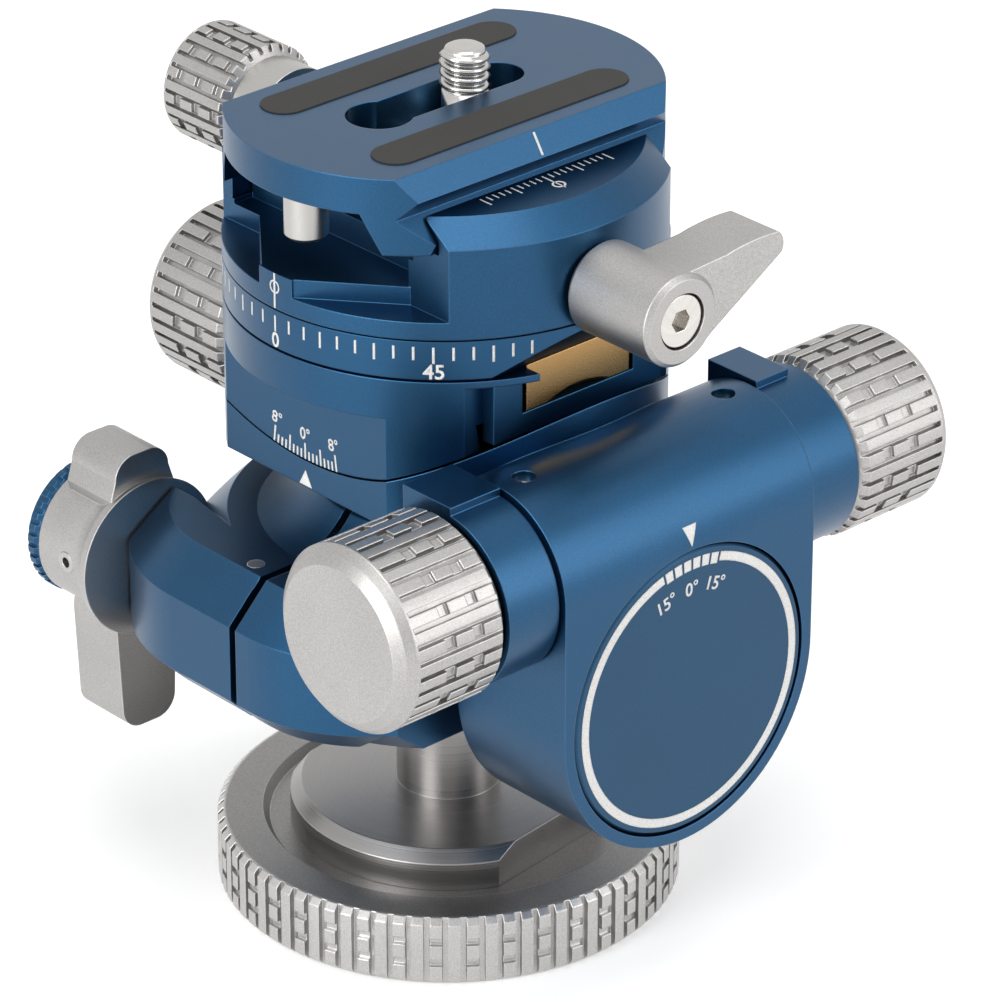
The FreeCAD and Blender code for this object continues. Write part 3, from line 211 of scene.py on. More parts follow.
rough.inputs["To Max"].default_value = 0.04
blasted.links.new(tone.outputs["Fac"], rough.inputs["Value"])
blasted.links.new(
    math_node(blasted, "ADD", rough.outputs["Result"], given.outputs["Roughness"], True),
    result.inputs["Roughness"])
bump = blasted.nodes.new("ShaderNodeBump")
bump.inputs["Distance"].default_value = 0.00003
blasted.links.new(given.outputs["Pit Depth"], bump.inputs["Strength"])
blasted.links.new(pits.outputs["Fac"], bump.inputs["Height"])
blasted.links.new(rounded.outputs["Normal"], bump.inputs["Normal"])
blasted.links.new(bump.outputs["Normal"], result.inputs["Normal"])

# The rings of a lathe tool round the local Z axis: fine grooves by radius and height
turned, given, result = shader_group("lathe_rings", [
    ("Vector", "NodeSocketVector", (0, 0, 0)),
    ("Colour", "NodeSocketColor", (0.5, 0.5, 0.5, 1)),
    ("Contrast", "NodeSocketFloat", 0.2),
    ("Roughness", "NodeSocketFloat", 0.3),
    ("Ring Scale", "NodeSocketFloat", 9000.0),
    ("Edge Radius", "NodeSocketFloat", 0.0002),
])
apart = turned.nodes.new("ShaderNodeSeparateXYZ")
turned.links.new(given.outputs["Vector"], apart.inputs["Vector"])
squares = math_node(
    turned, "ADD", math_node(turned, "MULTIPLY", apart.outputs["X"], apart.outputs["X"]),
    math_node(turned, "MULTIPLY", apart.outputs["Y"], apart.outputs["Y"]))
distance = math_node(turned, "SQRT", squares)
joined = turned.nodes.new("ShaderNodeCombineXYZ")
turned.links.new(distance, joined.inputs["X"])
turned.links.new(apart.outputs["Z"], joined.inputs["Y"])
rings = turned.nodes.new("ShaderNodeTexNoise")
rings.inputs["Detail"].default_value = 2
turned.links.new(joined.outputs["Vector"], rings.inputs["Vector"])
turned.links.new(given.outputs["Ring Scale"], rings.inputs["Scale"])
centred = math_node(turned, "SUBTRACT", rings.outputs["Fac"], 0.5)
spread = math_node(turned, "MULTIPLY_ADD", centred, given.outputs["Contrast"])
spread.node.inputs[2].default_value = 1.0
tinted = turned.nodes.new("ShaderNodeVectorMath")
tinted.operation = "SCALE"
turned.links.new(given.outputs["Colour"], tinted.inputs[0])
turned.links.new(spread, tinted.inputs["Scale"])
turned.links.new(tinted.outputs["Vector"], result.inputs["Colour"])
ringed = math_node(turned, "MULTIPLY", centred, 0.25)
turned.links.new(
    math_node(turned, "ADD", ringed, given.outputs["Roughness"], True), result.inputs["Roughness"])
soft = turned.nodes.new("ShaderNodeBevel")
soft.samples = 8
turned.links.new(given.outputs["Edge Radius"], soft.inputs["Radius"])
groove = turned.nodes.new("ShaderNodeBump")
groove.inputs["Strength"].default_value = 0.12
groove.inputs["Distance"].default_value = 0.00003
turned.links.new(rings.outputs["Fac"], groove.inputs["Height"])
turned.links.new(soft.outputs["Normal"], groove.inputs["Normal"])
turned.links.new(groove.outputs["Normal"], result.inputs["Normal"])


COAT_ROUGHNESS = 0.3


def skin_material(name, group, metallic, coat=0.0, **values):
    """A material with one of the shared skins, given its own values."""
    material = bpy.data.materials.new(name)
    material.use_nodes = True
    tree = material.node_tree
    shader = tree.nodes["Principled BSDF"]
    shader.inputs["Metallic"].default_value = metallic
    shader.inputs["Coat Weight"].default_value = coat
    shader.inputs["Coat Roughness"].default_value = COAT_ROUGHNESS
    skin = tree.nodes.new("ShaderNodeGroup")
    skin.node_tree = group
    for label, value in values.items():
        skin.inputs[label.replace("_", " ")].default_value = value
    tree.links.new(skin.outputs["Colour"], shader.inputs["Base Color"])
    tree.links.new(skin.outputs["Roughness"], shader.inputs["Roughness"])
    tree.links.new(skin.outputs["Normal"], shader.inputs["Normal"])
    return material


def turned_material(name, centre, tilt=(0, 0, 0), coat=0.0, **values):
    """A turned metal whose rings run round an axis through centre; tilt lays that axis down."""
    material = skin_material(name, turned, 1.0, coat, **values)
    tree = material.node_tree
    where = tree.nodes.new("ShaderNodeTexCoord")
    lay = tree.nodes.new("ShaderNodeMapping")
    lay.vector_type = "TEXTURE"
    lay.inputs["Location"].default_value = Vector(centre) * MM
    lay.inputs["Rotation"].default_value = [math.radians(angle) for angle in tilt]
    tree.links.new(where.outputs["Object"], lay.inputs["Vector"])
    skin = next(node for node in tree.nodes if node.type == "GROUP")
    tree.links.new(lay.outputs["Vector"], skin.inputs["Vector"])
    return material


def finish(material, *names):
    """Give CAD nodes a material."""
    for name in names:
        nodes[name].data.materials.clear()
        nodes[name].data.materials.append(material)


def piece_of(name, mesh, body):
    """A finished piece from its mesh, riding on its body."""
    piece = bpy.data.objects.new(name, mesh)
    bpy.context.scene.collection.objects.link(piece)
    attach(piece, body)
    return piece


def geometry_tree(name, inputs):
    """An empty Geometry Nodes tree with named inputs, and its input and output nodes."""
    tree = bpy.data.node_groups.new(name, "GeometryNodeTree")
    for label, kind, value in inputs:
        socket = tree.interface.new_socket(label, in_out="INPUT", socket_type=kind)
        socket.default_value = value
    tree.interface.new_socket("Material", in_out="INPUT", socket_type="NodeSocketMaterial")
    tree.interface.new_socket("Geometry", in_out="OUTPUT", socket_type="NodeSocketGeometry")
    return tree, tree.nodes.new("NodeGroupInput"), tree.nodes.new("NodeGroupOutput")


def end_tree(tree, given, result, shape):
    """Close a tree: instances made real, then the material."""
    real = tree.nodes.new("GeometryNodeRealizeInstances")
    paint = tree.nodes.new("GeometryNodeSetMaterial")
    tree.links.new(shape, real.inputs["Geometry"])
    tree.links.new(real.outputs["Geometry"], paint.inputs["Geometry"])
    tree.links.new(given.outputs["Material"], paint.inputs["Material"])
    tree.links.new(paint.outputs["Geometry"], result.inputs["Geometry"])


def grown_mesh(tree, turn, values):
    """The plain mesh that a tree makes with these values, laid in place by turn."""
    start = bpy.data.objects.new(tree.name, bpy.data.meshes.new(tree.name))
    bpy.context.scene.collection.objects.link(start)
    modifier = start.modifiers.new(tree.name, "NODES")
    modifier.node_group = tree
    for item in tree.interface.items_tree:
        if item.in_out == "INPUT" and item.name in values:
            modifier[item.identifier] = values[item.name]
    graph = bpy.context.evaluated_depsgraph_get()
    mesh = bpy.data.meshes.new_from_object(start.evaluated_get(graph))
    start.modifiers.remove(modifier)
    bpy.data.objects.remove(start)
    mesh.transform(turn)
    return mesh


# A screw thread: a sharp ridge swept along a helix
thread_tree, given, result = geometry_tree("screw_thread", [
    ("Root Radius", "NodeSocketFloat", 0.003),
    ("Depth", "NodeSocketFloat", 0.0006),
    ("Pitch", "NodeSocketFloat", 0.00127),
    ("Turns", "NodeSocketFloat", 4.0),
])
helix = thread_tree.nodes.new("GeometryNodeCurveSpiral")
helix.inputs["Resolution"].default_value = 48
rise = math_node(thread_tree, "MULTIPLY", given.outputs["Pitch"], given.outputs["Turns"])
thread_tree.links.new(rise, helix.inputs["Height"])
thread_tree.links.new(given.outputs["Turns"], helix.inputs["Rotations"])
thread_tree.links.new(given.outputs["Root Radius"], helix.inputs["Start Radius"])
thread_tree.links.new(given.outputs["Root Radius"], helix.inputs["End Radius"])
upright = thread_tree.nodes.new("GeometryNodeSetCurveNormal")
upright.mode = "Z_UP"
thread_tree.links.new(helix.outputs["Curve"], upright.inputs["Curve"])
ridge = thread_tree.nodes.new("GeometryNodeCurvePrimitiveQuadrilateral")
ridge.mode = "KITE"
FLANK_SHARE = 0.43
for label, share, socket in (("Depth", 2.0, "Width"), ("Pitch", FLANK_SHARE, "Bottom Height"),
                             ("Pitch", FLANK_SHARE, "Top Height")):
    thread_tree.links.new(
        math_node(thread_tree, "MULTIPLY", given.outputs[label], share), ridge.inputs[socket])
swept = thread_tree.nodes.new("GeometryNodeCurveToMesh")
swept.inputs["Fill Caps"].default_value = True
thread_tree.links.new(upright.outputs["Curve"], swept.inputs["Curve"])
thread_tree.links.new(ridge.outputs["Curve"], swept.inputs["Profile Curve"])
end_tree(thread_tree, given, result, swept.outputs["Mesh"])

SILVER = (0.405, 0.395, 0.385, 1)
# The paler edge colour of the silver is a painted highlight along its edges.
blasted_silver = skin_material(
    "blasted_silver", blasted, 1.0, Colour=SILVER, Edge_Colour=(0.60, 0.59, 0.58, 1),
    Edge_Wear=0.5, Roughness=0.42, Pit_Depth=0.4)
turned_silver = turned_material(
    "turned_silver", (0, 0, 0), Colour=(0.34, 0.33, 0.325, 1), Contrast=0.45, Roughness=0.32)

# The disc's rim keeps the pale blasted skin, and its top is darker where the lathe has faced it
RIM_START, RIM_WIDTH = 28.8 * MM, 0.3 * MM
# Its paler edge colour is a painted highlight along the disc's edges.
base_silver = skin_material(
    "base_silver", blasted, 1.0, Edge_Colour=(0.66, 0.65, 0.64, 1), Edge_Wear=0.5,
    Roughness=0.36, Pit_Depth=0.35)
tree = base_silver.node_tree
where = tree.nodes.new("ShaderNodeTexCoord")
flattened = tree.nodes.new("ShaderNodeVectorMath")
flattened.operation = "MULTIPLY"
flattened.inputs[1].default_value = (1, 1, 0)
reach = tree.nodes.new("ShaderNodeVectorMath")
reach.operation = "LENGTH"
at_rim = tree.nodes.new("ShaderNodeMapRange")
at_rim.inputs["From Min"].default_value = RIM_START
at_rim.inputs["From Max"].default_value = RIM_START + RIM_WIDTH
faced = tree.nodes.new("ShaderNodeMix")
faced.data_type = "RGBA"
faced.inputs["A"].default_value = (0.27, 0.265, 0.26, 1)
faced.inputs["B"].default_value = (0.52, 0.51, 0.50, 1)
tree.links.new(where.outputs["Object"], flattened.inputs[0])
tree.links.new(flattened.outputs["Vector"], reach.inputs[0])
tree.links.new(reach.outputs["Value"], at_rim.inputs["Value"])
tree.links.new(at_rim.outputs["Result"], faced.inputs["Factor"])
skin = next(node for node in tree.nodes if node.type == "GROUP")
tree.links.new(faced.outputs["Result"], skin.inputs["Colour"])
finish(base_silver, "base_disc")
finish(turned_silver, "ball_stem")
TRIPOD_RADIUS, TRIPOD_PITCH, TRIPOD_DEPTH = 4.76 * MM, 1.5875 * MM, 0.8 * MM
TRIPOD_START, TRIPOD_TURNS = 1.2 * MM, 5.5
piece_of("tripod_thread", grown_mesh(thread_tree, Matrix.Translation((0, 0, TRIPOD_START)), {
    "Root Radius": TRIPOD_RADIUS, "Depth": TRIPOD_DEPTH, "Pitch": TRIPOD_PITCH,
    "Turns": TRIPOD_TURNS, "Material": turned_silver}), "base")

# Ball seats. Two rings of hard white plastic, moulded and pressed into the clamp, grip the ball
# above and below its middle.
plastic = skin_material(
    "seat_plastic", blasted, 0.0, Colour=(0.8, 0.8, 0.77, 1), Edge_Wear=0.0, Roughness=0.5)
finish(plastic, "lower_ball_seat", "upper_ball_seat")

# Ball clamp. Two milled halves grip the ball's seats, drawn together by the lever's screw. They
# are blue anodised over a bead blasted skin, and the joint screws and dowel are plain steel.
BLUE = (0.010, 0.066, 0.148, 1)
# The paler blue edge colour is a painted highlight along the edges.
blasted_blue = skin_material(
    "blasted_blue", blasted, 1.0, coat=0.35, Colour=BLUE, Edge_Colour=(0.06, 0.15, 0.28, 1),
    Edge_Wear=0.5, Roughness=0.38, Pit_Depth=0.3)
finish(blasted_blue, "clamp_front_half", "clamp_rear_half")
steel = turned_material(
    "turned_steel", (0, 0, 0), Colour=(0.46, 0.45, 0.43, 1), Roughness=0.32)
finish(steel, "clamp_joint_screws", "clamp_dowel")
finish(blasted_silver, "clamp_packing_plate")

# Clamp lever. A wing of cast aluminium, blasted and silver anodised, turns the steel screw that
# closes the clamp; a set screw in its hub holds the two together. The small dial on the hub is
# blue anodised aluminium.
finish(blasted_silver, "clamp_wing_lever")
finish(steel, "clamp_screw", "lever_set_screw")
finish(blasted_blue, "friction_dial")

# Tilt gearing. A brass wheel on the clamp's axle meets a hardened steel worm, and both are cut
# bare and bright; a bush and a thrust washer of brass carry the housing.
BRASS = (0.46, 0.27, 0.105, 1)
brass = turned_material(
    "milled_brass", (0, 0, 109.3), (0, 90, 0), Colour=BRASS, Contrast=0.5, Roughness=0.28)
wheel_brass = turned_material(
    "turned_brass", (0, 0, 44.1), (90, 0, 0), Colour=BRASS, Contrast=0.3, Roughness=0.3)
worm_steel = turned_material("worm_steel", (0, -32.3, 62.6), (0, 90, 0),
                             Colour=(0.6, 0.59, 0.57, 1), Roughness=0.25)
finish(wheel_brass, "tilt_worm_wheel", "axle_thrust_washer", "axle_bush")
finish(steel, "axle_nut")
finish(worm_steel, "tilt_worm_shaft")

# Tilt dial. A blue anodised plate stays with the clamp while the housing tilts round it, and its
# ring, breaks and figures are cut with a laser and filled with white paint.
DIAL_Y, DIAL_Z = -44.3, 44.1
RING_INNER, RING_THIN, RING_OUTER = 16.6, 16.9, 18.1
BREAK, DIAL_SPAN, DIAL_STEP = 0.55, 15, 5
DIAL_FIGURE_HEIGHT, DIAL_FIGURE_RADIUS, DIAL_FIGURE_SWING = 1.9, 14.1, 17
MARK_SUNK, MARK_PROUD, FIGURE_WEIGHT = 0.03, 0.02, 0.02
WELD, FIGURE_WELD = 1e-7, 1e-8
# The dial's paler blue edge colour is a painted highlight along its edges.
dial_blue = skin_material(
    "dial_blue", blasted, 1.0, coat=0.3, Colour=(0.013, 0.060, 0.125, 1),
    Edge_Colour=(0.06, 0.15, 0.28, 1), Edge_Wear=0.3, Roughness=0.46, Pit_Depth=0.25)
mark_paint = skin_material(
    "mark_paint", blasted, 0.0, Colour=(0.72, 0.715, 0.70, 1), Edge_Wear=0.0, Roughness=0.5)
finish(dial_blue, "tilt_dial_plate")


def flat(origin, right, up):
    """Lays a mark on a plane: right and up are the directions in which it reads."""
    right, up = Vector(right).normalized(), Vector(up).normalized()
    out = right.cross(up)
    start = Vector(origin) * MM
    return lambda point: start + right * point.x + up * point.y + out * point.z


def painted(name, faces, where, body):
    """A mark filled with white paint: flat faces given a thickness and laid by where."""
    shape = bmesh.new()
    for face in faces:
        shape.faces.new([shape.verts.new((x * MM, y * MM, -MARK_SUNK * MM)) for x, y in face])
    bmesh.ops.remove_doubles(shape, verts=shape.verts, dist=WELD)
    raised = bmesh.ops.extrude_face_region(shape, geom=shape.faces[:])["geom"]
    for item in raised:
        if isinstance(item, bmesh.types.BMVert):
            item.co.z += (MARK_SUNK + MARK_PROUD) * MM
    bmesh.ops.recalc_face_normals(shape, faces=shape.faces)
    for vertex in shape.verts:
        vertex.co = where(vertex.co)
    mesh = bpy.data.meshes.new(name)
    shape.to_mesh(mesh)
    shape.free()
    mesh.materials.append(mark_paint)
    return piece_of(name, mesh, body)


def lettered(name, words, height, turn, where, body):
    """Figures of a given height, centred on turn and laid by where."""
    words_curve = bpy.data.curves.new(name, "FONT")
    words_curve.body = words
    words_curve.extrude = (MARK_SUNK + MARK_PROUD) / 2 * MM
    words_curve.size = height * MM
    words_curve.offset = FIGURE_WEIGHT * height * MM
    holder = bpy.data.objects.new(name + "_curve", words_curve)
    bpy.context.scene.collection.objects.link(holder)
    graph = bpy.context.evaluated_depsgraph_get()
    mesh = bpy.data.meshes.new_from_object(holder.evaluated_get(graph))
    bpy.data.objects.remove(holder)
    shape = bmesh.new()
    shape.from_mesh(mesh)
    bmesh.ops.remove_doubles(shape, verts=shape.verts, dist=FIGURE_WELD)
    bmesh.ops.recalc_face_normals(shape, faces=shape.faces)
    low = Vector([min(vertex.co[axis] for vertex in shape.verts) for axis in range(3)])
    high = Vector([max(vertex.co[axis] for vertex in shape.verts) for axis in range(3)])
    size = height * MM / (high.y - low.y)
    middle = (low + high) / 2
    for vertex in shape.verts:
        x, y = (vertex.co.x - middle.x) * size, (vertex.co.y - middle.y) * size
        sunk = vertex.co.z - middle.z + (MARK_PROUD - MARK_SUNK) / 2 * MM
        vertex.co = where(turn @ Vector((x, y, sunk)))
    shape.to_mesh(mesh)
    shape.free()
    mesh.materials.clear()
    mesh.materials.append(mark_paint)
    return piece_of(name, mesh, body)


def turned_to(angle, radius):
    """The place of a figure on an arc, angle in degrees clockwise from the top."""
    swing = math.radians(angle)
    return (Matrix.Translation((radius * MM * math.sin(swing), radius * MM * math.cos(swing), 0))
            @ Matrix.Rotation(-swing, 4, "Z"))


def arc_band(inner, outer, start, end, step=3.0):
    """Flat faces of a band between two radii, angles in degrees clockwise from the top."""
    count = max(1, math.ceil((end - start) / step))
    rays = [math.radians(start + (end - start) * index / count) for index in range(count + 1)]
    corner = [[(radius * math.sin(ray), radius * math.cos(ray)) for radius in (inner, outer)]
              for ray in rays]
    return [[one[0], one[1], two[1], two[0]] for one, two in zip(corner, corner[1:])]


on_dial = flat((0, DIAL_Y, DIAL_Z), (1, 0, 0), (0, 0, 1))
dial_faces = arc_band(RING_THIN, RING_OUTER, DIAL_SPAN + BREAK, 360 - DIAL_SPAN - BREAK)
for start in range(-DIAL_SPAN, DIAL_SPAN, DIAL_STEP):
    dial_faces += arc_band(RING_INNER, RING_OUTER, start + BREAK, start + DIAL_STEP - BREAK)
painted("dial_ring", dial_faces, on_dial, "ball_clamp")
for name, words, angle in (("left", "15\u00b0", -DIAL_FIGURE_SWING), ("middle", "0\u00b0", 0),
                           ("right", "15\u00b0", DIAL_FIGURE_SWING)):
    lettered("dial_figure_" + name, words, DIAL_FIGURE_HEIGHT,
             turned_to(angle, DIAL_FIGURE_RADIUS), on_dial, "ball_clamp")

# Tilt housing. One billet, milled, blasted and blue anodised, holds the worm in its upper tube
# and turns on the clamp's axle. Its pointer is filled with white paint.
TUBE_Y, TUBE_Z, TUBE_RADIUS = -32.3, 62.6, 12.0
finish(blasted_blue, "tilt_housing", "guide_rail_left", "guide_rail_right",
       "worm_sleeve_left", "worm_sleeve_right")
finish(steel, "sleeve_grub_screws")


def on_tube(point):
    """Lays a mark on the front of the worm's tube; its y runs up round the tube."""
    angle = point.y / (TUBE_RADIUS * MM)
    reach = TUBE_RADIUS * MM + point.z
    return Vector((point.x, TUBE_Y * MM - reach * math.cos(angle),
                   TUBE_Z * MM + reach * math.sin(angle)))


POINTER_TIP, POINTER_HEIGHT, POINTER_HALF, POINTER_ROWS = 1.2, 2.8, 1.15, 4
edges = [(POINTER_HALF * row / POINTER_ROWS, POINTER_TIP + POINTER_HEIGHT * row / POINTER_ROWS)
         for row in range(POINTER_ROWS + 1)]
pointer_faces = [[(-low[0], low[1]), (low[0], low[1]), (high[0], high[1]), (-high[0], high[1])]
                 for low, high in zip(edges[1:], edges[2:])]
pointer_faces.append([(0, POINTER_TIP), edges[1], (-edges[1][0], edges[1][1])])
painted("tilt_pointer", pointer_faces, on_tube, "tilt_head")

# Drive knobs. Three knobs turned from aluminium, with a deep knurl of ribs and pads, blasted and
# silver anodised. They are fixed on the ends of the two worm shafts.
finish(blasted_silver, "tilt_knob_left", "tilt_knob_right", "roll_knob")

# Roll cradle. A blue anodised block slides in the housing's rails, driven by the toothed brass
# sector that is fixed in it. Its flat left side has a scale of degrees, filled with white paint
# like the housing's pointer below it.
SCALE_X, ROLL_Z, SCALE_RADIUS = -23.3, 109.3, 42.2
ROLL_SPAN, ROLL_FIGURE_HEIGHT, ROLL_FIGURE_RADIUS, ROLL_FIGURE_SWING = 8, 1.7, 38.75, 7.8
ROLL_POINTER_HALF, ROLL_POINTER_FOOT, ROLL_POINTER_TIP = 1.2, 63.4, 65.6
TICK_WIDTH = 0.32
finish(blasted_blue, "roll_block", "window_cover")
finish(brass, "roll_sector")

# Marks in a row or an arc: a bar repeated by an angle or by a distance, each nth one longer
scale_tree, given, result = geometry_tree("scale_marks", [
    ("Count", "NodeSocketInt", 10),
    ("Radius", "NodeSocketFloat", 0.0),
    ("First Angle", "NodeSocketFloat", 0.0),
    ("Angle Step", "NodeSocketFloat", 0.0),
    ("Along Step", "NodeSocketVector", (0, 0, 0)),
    ("Bar Size", "NodeSocketVector", (0.001, 0.001, 0.001)),
    ("Bar Offset", "NodeSocketVector", (0, 0, 0)),
    ("Long Every", "NodeSocketInt", 5),
    ("Long Shift", "NodeSocketInt", 0),
    ("Long Scale", "NodeSocketVector", (1, 1, 1)),
])
spots = scale_tree.nodes.new("GeometryNodePoints")
scale_tree.links.new(given.outputs["Count"], spots.inputs["Count"])
number = scale_tree.nodes.new("GeometryNodeInputIndex").outputs["Index"]
swing = math_node(scale_tree, "ADD", math_node(
    scale_tree, "MULTIPLY", number, given.outputs["Angle Step"]), given.outputs["First Angle"])
arc = scale_tree.nodes.new("ShaderNodeCombineXYZ")
for operation, axis in (("COSINE", "X"), ("SINE", "Y")):
    reach = math_node(scale_tree, "MULTIPLY", math_node(scale_tree, operation, swing),
                      given.outputs["Radius"])
    scale_tree.links.new(reach, arc.inputs[axis])
line = scale_tree.nodes.new("ShaderNodeVectorMath")
line.operation = "SCALE"
scale_tree.links.new(given.outputs["Along Step"], line.inputs[0])
scale_tree.links.new(number, line.inputs["Scale"])
spot = scale_tree.nodes.new("ShaderNodeVectorMath")
spot.operation = "ADD"
scale_tree.links.new(arc.outputs["Vector"], spot.inputs[0])
scale_tree.links.new(line.outputs["Vector"], spot.inputs[1])
scale_tree.links.new(spot.outputs["Vector"], spots.inputs["Position"])
bar = scale_tree.nodes.new("GeometryNodeMeshCube")
scale_tree.links.new(given.outputs["Bar Size"], bar.inputs["Size"])
ended = scale_tree.nodes.new("GeometryNodeTransform")
scale_tree.links.new(bar.outputs["Mesh"], ended.inputs["Geometry"])
scale_tree.links.new(given.outputs["Bar Offset"], ended.inputs["Translation"])
counted = math_node(scale_tree, "ADD", number, given.outputs["Long Shift"])
left_over = math_node(scale_tree, "MODULO", counted, given.outputs["Long Every"])
is_long = math_node(scale_tree, "LESS_THAN", left_over, 0.5)
stretch = scale_tree.nodes.new("ShaderNodeMix")
stretch.data_type = "VECTOR"
stretch.inputs["A"].default_value = (1, 1, 1)
scale_tree.links.new(is_long, stretch.inputs["Factor"])
scale_tree.links.new(given.outputs["Long Scale"], stretch.inputs["B"])
facing = scale_tree.nodes.new("ShaderNodeCombineXYZ")
scale_tree.links.new(swing, facing.inputs["Z"])
bars = scale_tree.nodes.new("GeometryNodeInstanceOnPoints")
scale_tree.links.new(spots.outputs["Points"], bars.inputs["Points"])
scale_tree.links.new(ended.outputs["Geometry"], bars.inputs["Instance"])
scale_tree.links.new(facing.outputs["Vector"], bars.inputs["Rotation"])
scale_tree.links.new(stretch.outputs["Result"], bars.inputs["Scale"])
end_tree(scale_tree, given, result, bars.outputs["Instances"])


def scale_marks(name, count, turn, body, width, length, axis, long_every, long_length,
                radius=0.0, first=0.0, step=0.0, along=(0, 0, 0), long_shift=0):
    """Painted marks; axis says which way a bar runs from its place: 0, 1 or 2, and its sign."""
    direction, sign = axis
    thickness = (MARK_SUNK + MARK_PROUD) * MM
    out_axis = 0 if direction == 2 else 2
    size = [width * MM] * 3
    size[direction], size[out_axis] = length * MM, thickness
    offset = [0.0] * 3
    offset[direction], offset[out_axis] = sign * length / 2 * MM, (MARK_PROUD - MARK_SUNK) / 2 * MM
    longer = [1.0] * 3
    longer[direction] = long_length / length
    mesh = grown_mesh(scale_tree, turn, {
        "Count": count, "Radius": radius * MM, "First Angle": math.radians(first),
        "Angle Step": math.radians(step), "Along Step": [value * MM for value in along],
        "Bar Size": size, "Bar Offset": offset, "Long Every": long_every,
        "Long Shift": long_shift, "Long Scale": longer, "Material": mark_paint})
    return piece_of(name, mesh, body)


down_side = Matrix(
    ((0, 0, -1, SCALE_X * MM), (0, -1, 0, 0), (-1, 0, 0, ROLL_Z * MM), (0, 0, 0, 1)))
scale_marks("roll_scale", 2 * ROLL_SPAN + 1, down_side, "roll_cradle", width=TICK_WIDTH,
            length=1.2, axis=(0, -1), long_every=4, long_length=2.2,
            radius=SCALE_RADIUS, first=-ROLL_SPAN, step=1)
on_side = flat((SCALE_X, 0, ROLL_Z), (0, -1, 0), (0, 0, 1))
for name, words, angle in (("left", "8\u00b0", 180 - ROLL_FIGURE_SWING),
                           ("middle", "0\u00b0", 180),
                           ("right", "8\u00b0", 180 + ROLL_FIGURE_SWING)):
    lettered("roll_figure_" + name, words, ROLL_FIGURE_HEIGHT,
             turned_to(angle, ROLL_FIGURE_RADIUS) @ Matrix.Rotation(math.pi, 4, "Z"),
             on_side, "roll_cradle")
on_rail = flat((SCALE_X, 0, 0), (0, -1, 0), (0, 0, 1))
painted("roll_pointer", [[(-ROLL_POINTER_HALF, ROLL_POINTER_FOOT),
                          (ROLL_POINTER_HALF, ROLL_POINTER_FOOT), (0, ROLL_POINTER_TIP)]],
        on_rail, "tilt_head")

# Roll worm. A hardened steel worm, cut bare and bright, drives the brass sector. It runs in a
# brass bush that is fixed in the housing.
finish(wheel_brass, "roll_worm_bush")
roll_steel = turned_material("roll_worm_steel", (0, 0, 68.2), (0, 90, 0),
                             Colour=(0.6, 0.59, 0.57, 1), Roughness=0.25)
finish(roll_steel, "roll_worm_shaft")

# Panning scale. The turned rim of the cradle has a mark each five degrees and figures under
# them, laser cut and filled with white paint.
PAN_RADIUS, PAN_TICK_TOP, PAN_FIGURE_HEIGHT, PAN_FIGURE_Z = 27.7, 88.0, 2.0, 84.75
turned_blue = turned_material(
    "turned_blue", (0, 0, 0), coat=0.35, Colour=BLUE, Contrast=0.3, Roughness=0.35)
finish(turned_blue, "pan_scale_ring")
finish(steel, "pan_spindle", "pan_spindle_cap")
scale_marks("pan_scale", 65, Matrix.Translation((0, 0, PAN_TICK_TOP * MM)), "roll_cradle",
            width=TICK_WIDTH, length=1.75, axis=(2, -1), long_every=3, long_length=2.15,
            radius=PAN_RADIUS, first=290, step=5, long_shift=1)


def on_rim(angle, height):
    """Lays a mark on the panning rim, centred at an angle and a height."""
    def laid(point):
        swing = math.radians(angle) + point.x / (PAN_RADIUS * MM)
        reach = PAN_RADIUS * MM + point.z
        return Vector((reach * math.cos(swing), reach * math.sin(swing), height * MM + point.y))
    return laid


for words, angles in (("0", (180,)), ("45", (225, 135)), ("90", (90,)), ("135", (315, 45)),
                      ("180", (0,))):
    for angle in angles:
        lettered("pan_figure_%s_%d" % (words, angle), words, PAN_FIGURE_HEIGHT, Matrix(),
                 on_rim(angle, PAN_FIGURE_Z), "roll_cradle")

# Panning clamp. A milled blue body turns on the cradle's spindle and has the fixed jaw on top;
# a plastic pad brakes it. Its marks are filled with white paint.
PAN_LINE_Z, PAN_CIRCLE_Z = 91.3, 91.8
JAW_TOP, JAW_SCALE_X, JAW_SCALE_Y, JAW_POINTER_Y = 103.7, -10, -17.3, -20.4
finish(blasted_blue, "pan_clamp_body")
finish(plastic, "pan_brake_pad")


def upright_line(half_width, low, high):
    """The one flat face of a straight painted line."""
    return [[(-half_width, low), (half_width, low), (half_width, high), (-half_width, high)]]


painted("pan_pointer_line", upright_line(0.17, -2.3, 2.3), on_rim(180, PAN_LINE_Z), "plate_clamp")
painted("pan_pointer_ring", arc_band(0.66, 0.90, 0, 360, 15), on_rim(180, PAN_CIRCLE_Z),
        "plate_clamp")
scale_marks("jaw_scale", 21, Matrix.Translation((JAW_SCALE_X * MM, JAW_SCALE_Y * MM, JAW_TOP * MM)),
            "plate_clamp", width=0.2, length=1.2, axis=(1, -1), long_every=5, long_length=2.1,
            along=(1, 0, 0))
on_jaw = flat((0, JAW_POINTER_Y, JAW_TOP), (1, 0, 0), (0, 1, 0))
painted("jaw_pointer_ring", arc_band(0.62, 0.9, 0, 360, 15), on_jaw, "plate_clamp")
painted("jaw_pointer_line", upright_line(0.1, -1.2, 1.1), on_jaw, "plate_clamp")

# Lock lever. Cast, blasted and silver anodised like the wing lever; a steel cap screw with a
# hexagon socket holds it on the brake's screw.
cap_steel = turned_material("cap_screw_steel", (0, -32, 96), (90, 0, 0),
                            Colour=(0.62, 0.60, 0.57, 1), Roughness=0.22, Contrast=0.5)
finish(blasted_silver, "pan_lever")
finish(cap_steel, "pan_lever_cap_screw", "pan_lock_screw")

# Moving jaw. A milled jaw of blue anodised aluminium slides on two steel pins, and a silver knob
# with the same knurl as the drive knobs draws it in.
finish(blasted_blue, "clamp_jaw")
finish(steel, "jaw_guide_pins", "jaw_screw")
finish(blasted_silver, "jaw_knob")

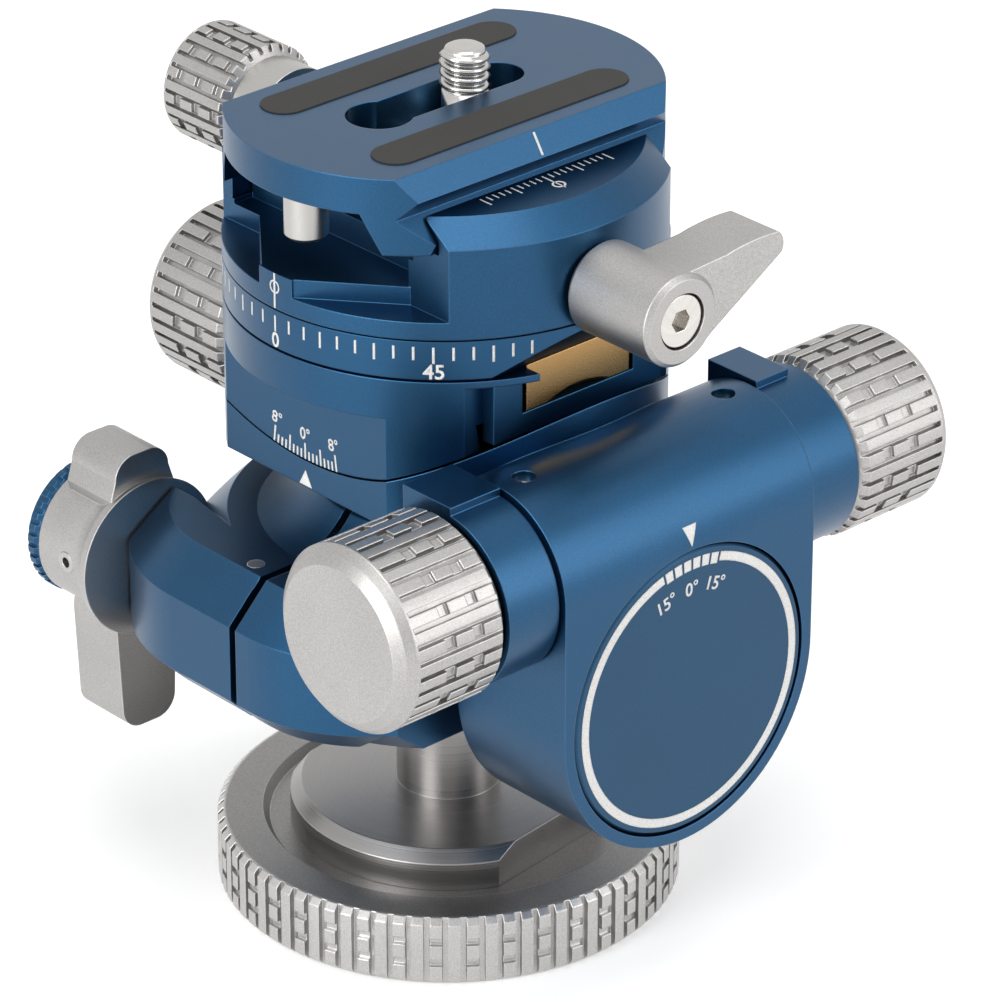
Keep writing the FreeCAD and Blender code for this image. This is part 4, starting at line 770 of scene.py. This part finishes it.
# Camera plate. A dovetailed blue plate with two bonded strips of finely grained rubber and a
# steel stop pin; one line on its bevel reads against the jaw's scale.
rubber = skin_material(
    "grained_rubber", blasted, 0.0, Colour=(0.020, 0.019, 0.018, 1), Edge_Wear=0.0,
    Roughness=0.78, Pit_Scale=3800.0, Pit_Depth=1.0)
finish(blasted_blue, "camera_plate")
finish(rubber, "rubber_strip_front", "rubber_strip_rear")
finish(steel, "plate_stop_pin")
INDEX_Y, INDEX_Z = -16.7, 107.8
on_bevel = flat((0, INDEX_Y, INDEX_Z), (1, 0, 0), (0, 2, 3))
painted("plate_index", upright_line(0.18, -1.5, 1.5), on_bevel, "plate")

# Camera screw. A 1/4 inch stainless screw, its head under the plate and its shank in the slot,
# with a rolled thread above the plate.
SCREW_X, SCREW_ROOT, SCREW_PITCH, SCREW_DEPTH = 3.2, 2.55, 1.27, 0.62
PLATE_TOP, SCREW_TOP, SCREW_TURNS, AROUND = 109.3, 114.5, 3.6, 64
THREAD_START, SHANK_CUT, SHANK_START = PLATE_TOP - 0.2, PLATE_TOP - 0.3, PLATE_TOP - 0.8
screw_steel = turned_material("screw_steel", (SCREW_X, 0, 0), Colour=(0.52, 0.51, 0.49, 1),
                              Roughness=0.22)
finish(screw_steel, "camera_screw_washer")
thread = grown_mesh(
    thread_tree, Matrix.Translation((SCREW_X * MM, 0, THREAD_START * MM)), {
        "Root Radius": SCREW_ROOT * MM, "Depth": SCREW_DEPTH * MM, "Pitch": SCREW_PITCH * MM,
        "Turns": SCREW_TURNS, "Material": screw_steel})
shank = bmesh.new()
shank.from_mesh(nodes["camera_screw"].data)
bmesh.ops.remove_doubles(shank, verts=shank.verts, dist=WELD)
cut = bmesh.ops.bisect_plane(
    shank, geom=shank.verts[:] + shank.edges[:] + shank.faces[:], dist=WELD,
    plane_co=(0, 0, SHANK_CUT * MM), plane_no=(0, 0, 1), clear_outer=True)
rim = [item for item in cut["geom_cut"] if isinstance(item, bmesh.types.BMEdge)]
bmesh.ops.contextual_create(shank, geom=rim)
outline = [(SCREW_ROOT, SHANK_START), (SCREW_ROOT, SCREW_TOP - 0.55),
           (SCREW_ROOT - 0.1, SCREW_TOP - 0.25), (SCREW_ROOT - 0.45, SCREW_TOP - 0.05),
           (SCREW_ROOT - 1.2, SCREW_TOP)]
rings = [[shank.verts.new(Vector((SCREW_X + radius * math.cos(math.tau * index / AROUND),
                                  radius * math.sin(math.tau * index / AROUND), height)) * MM)
          for index in range(AROUND)] for radius, height in outline]
for lower, upper in zip(rings, rings[1:]):
    for index in range(AROUND):
        following = (index + 1) % AROUND
        shank.faces.new((lower[index], lower[following], upper[following], upper[index]))
shank.faces.new(rings[-1])
shank.faces.new(rings[0][::-1])
shank.from_mesh(thread)
bmesh.ops.recalc_face_normals(shank, faces=shank.faces)
screw_mesh = bpy.data.meshes.new("threaded_camera_screw")
shank.to_mesh(screw_mesh)
shank.free()
screw_mesh.materials.append(screw_steel)
for face in screw_mesh.polygons:
    face.material_index = 0
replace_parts(piece_of("threaded_camera_screw", screw_mesh, "screw"), "camera_screw")
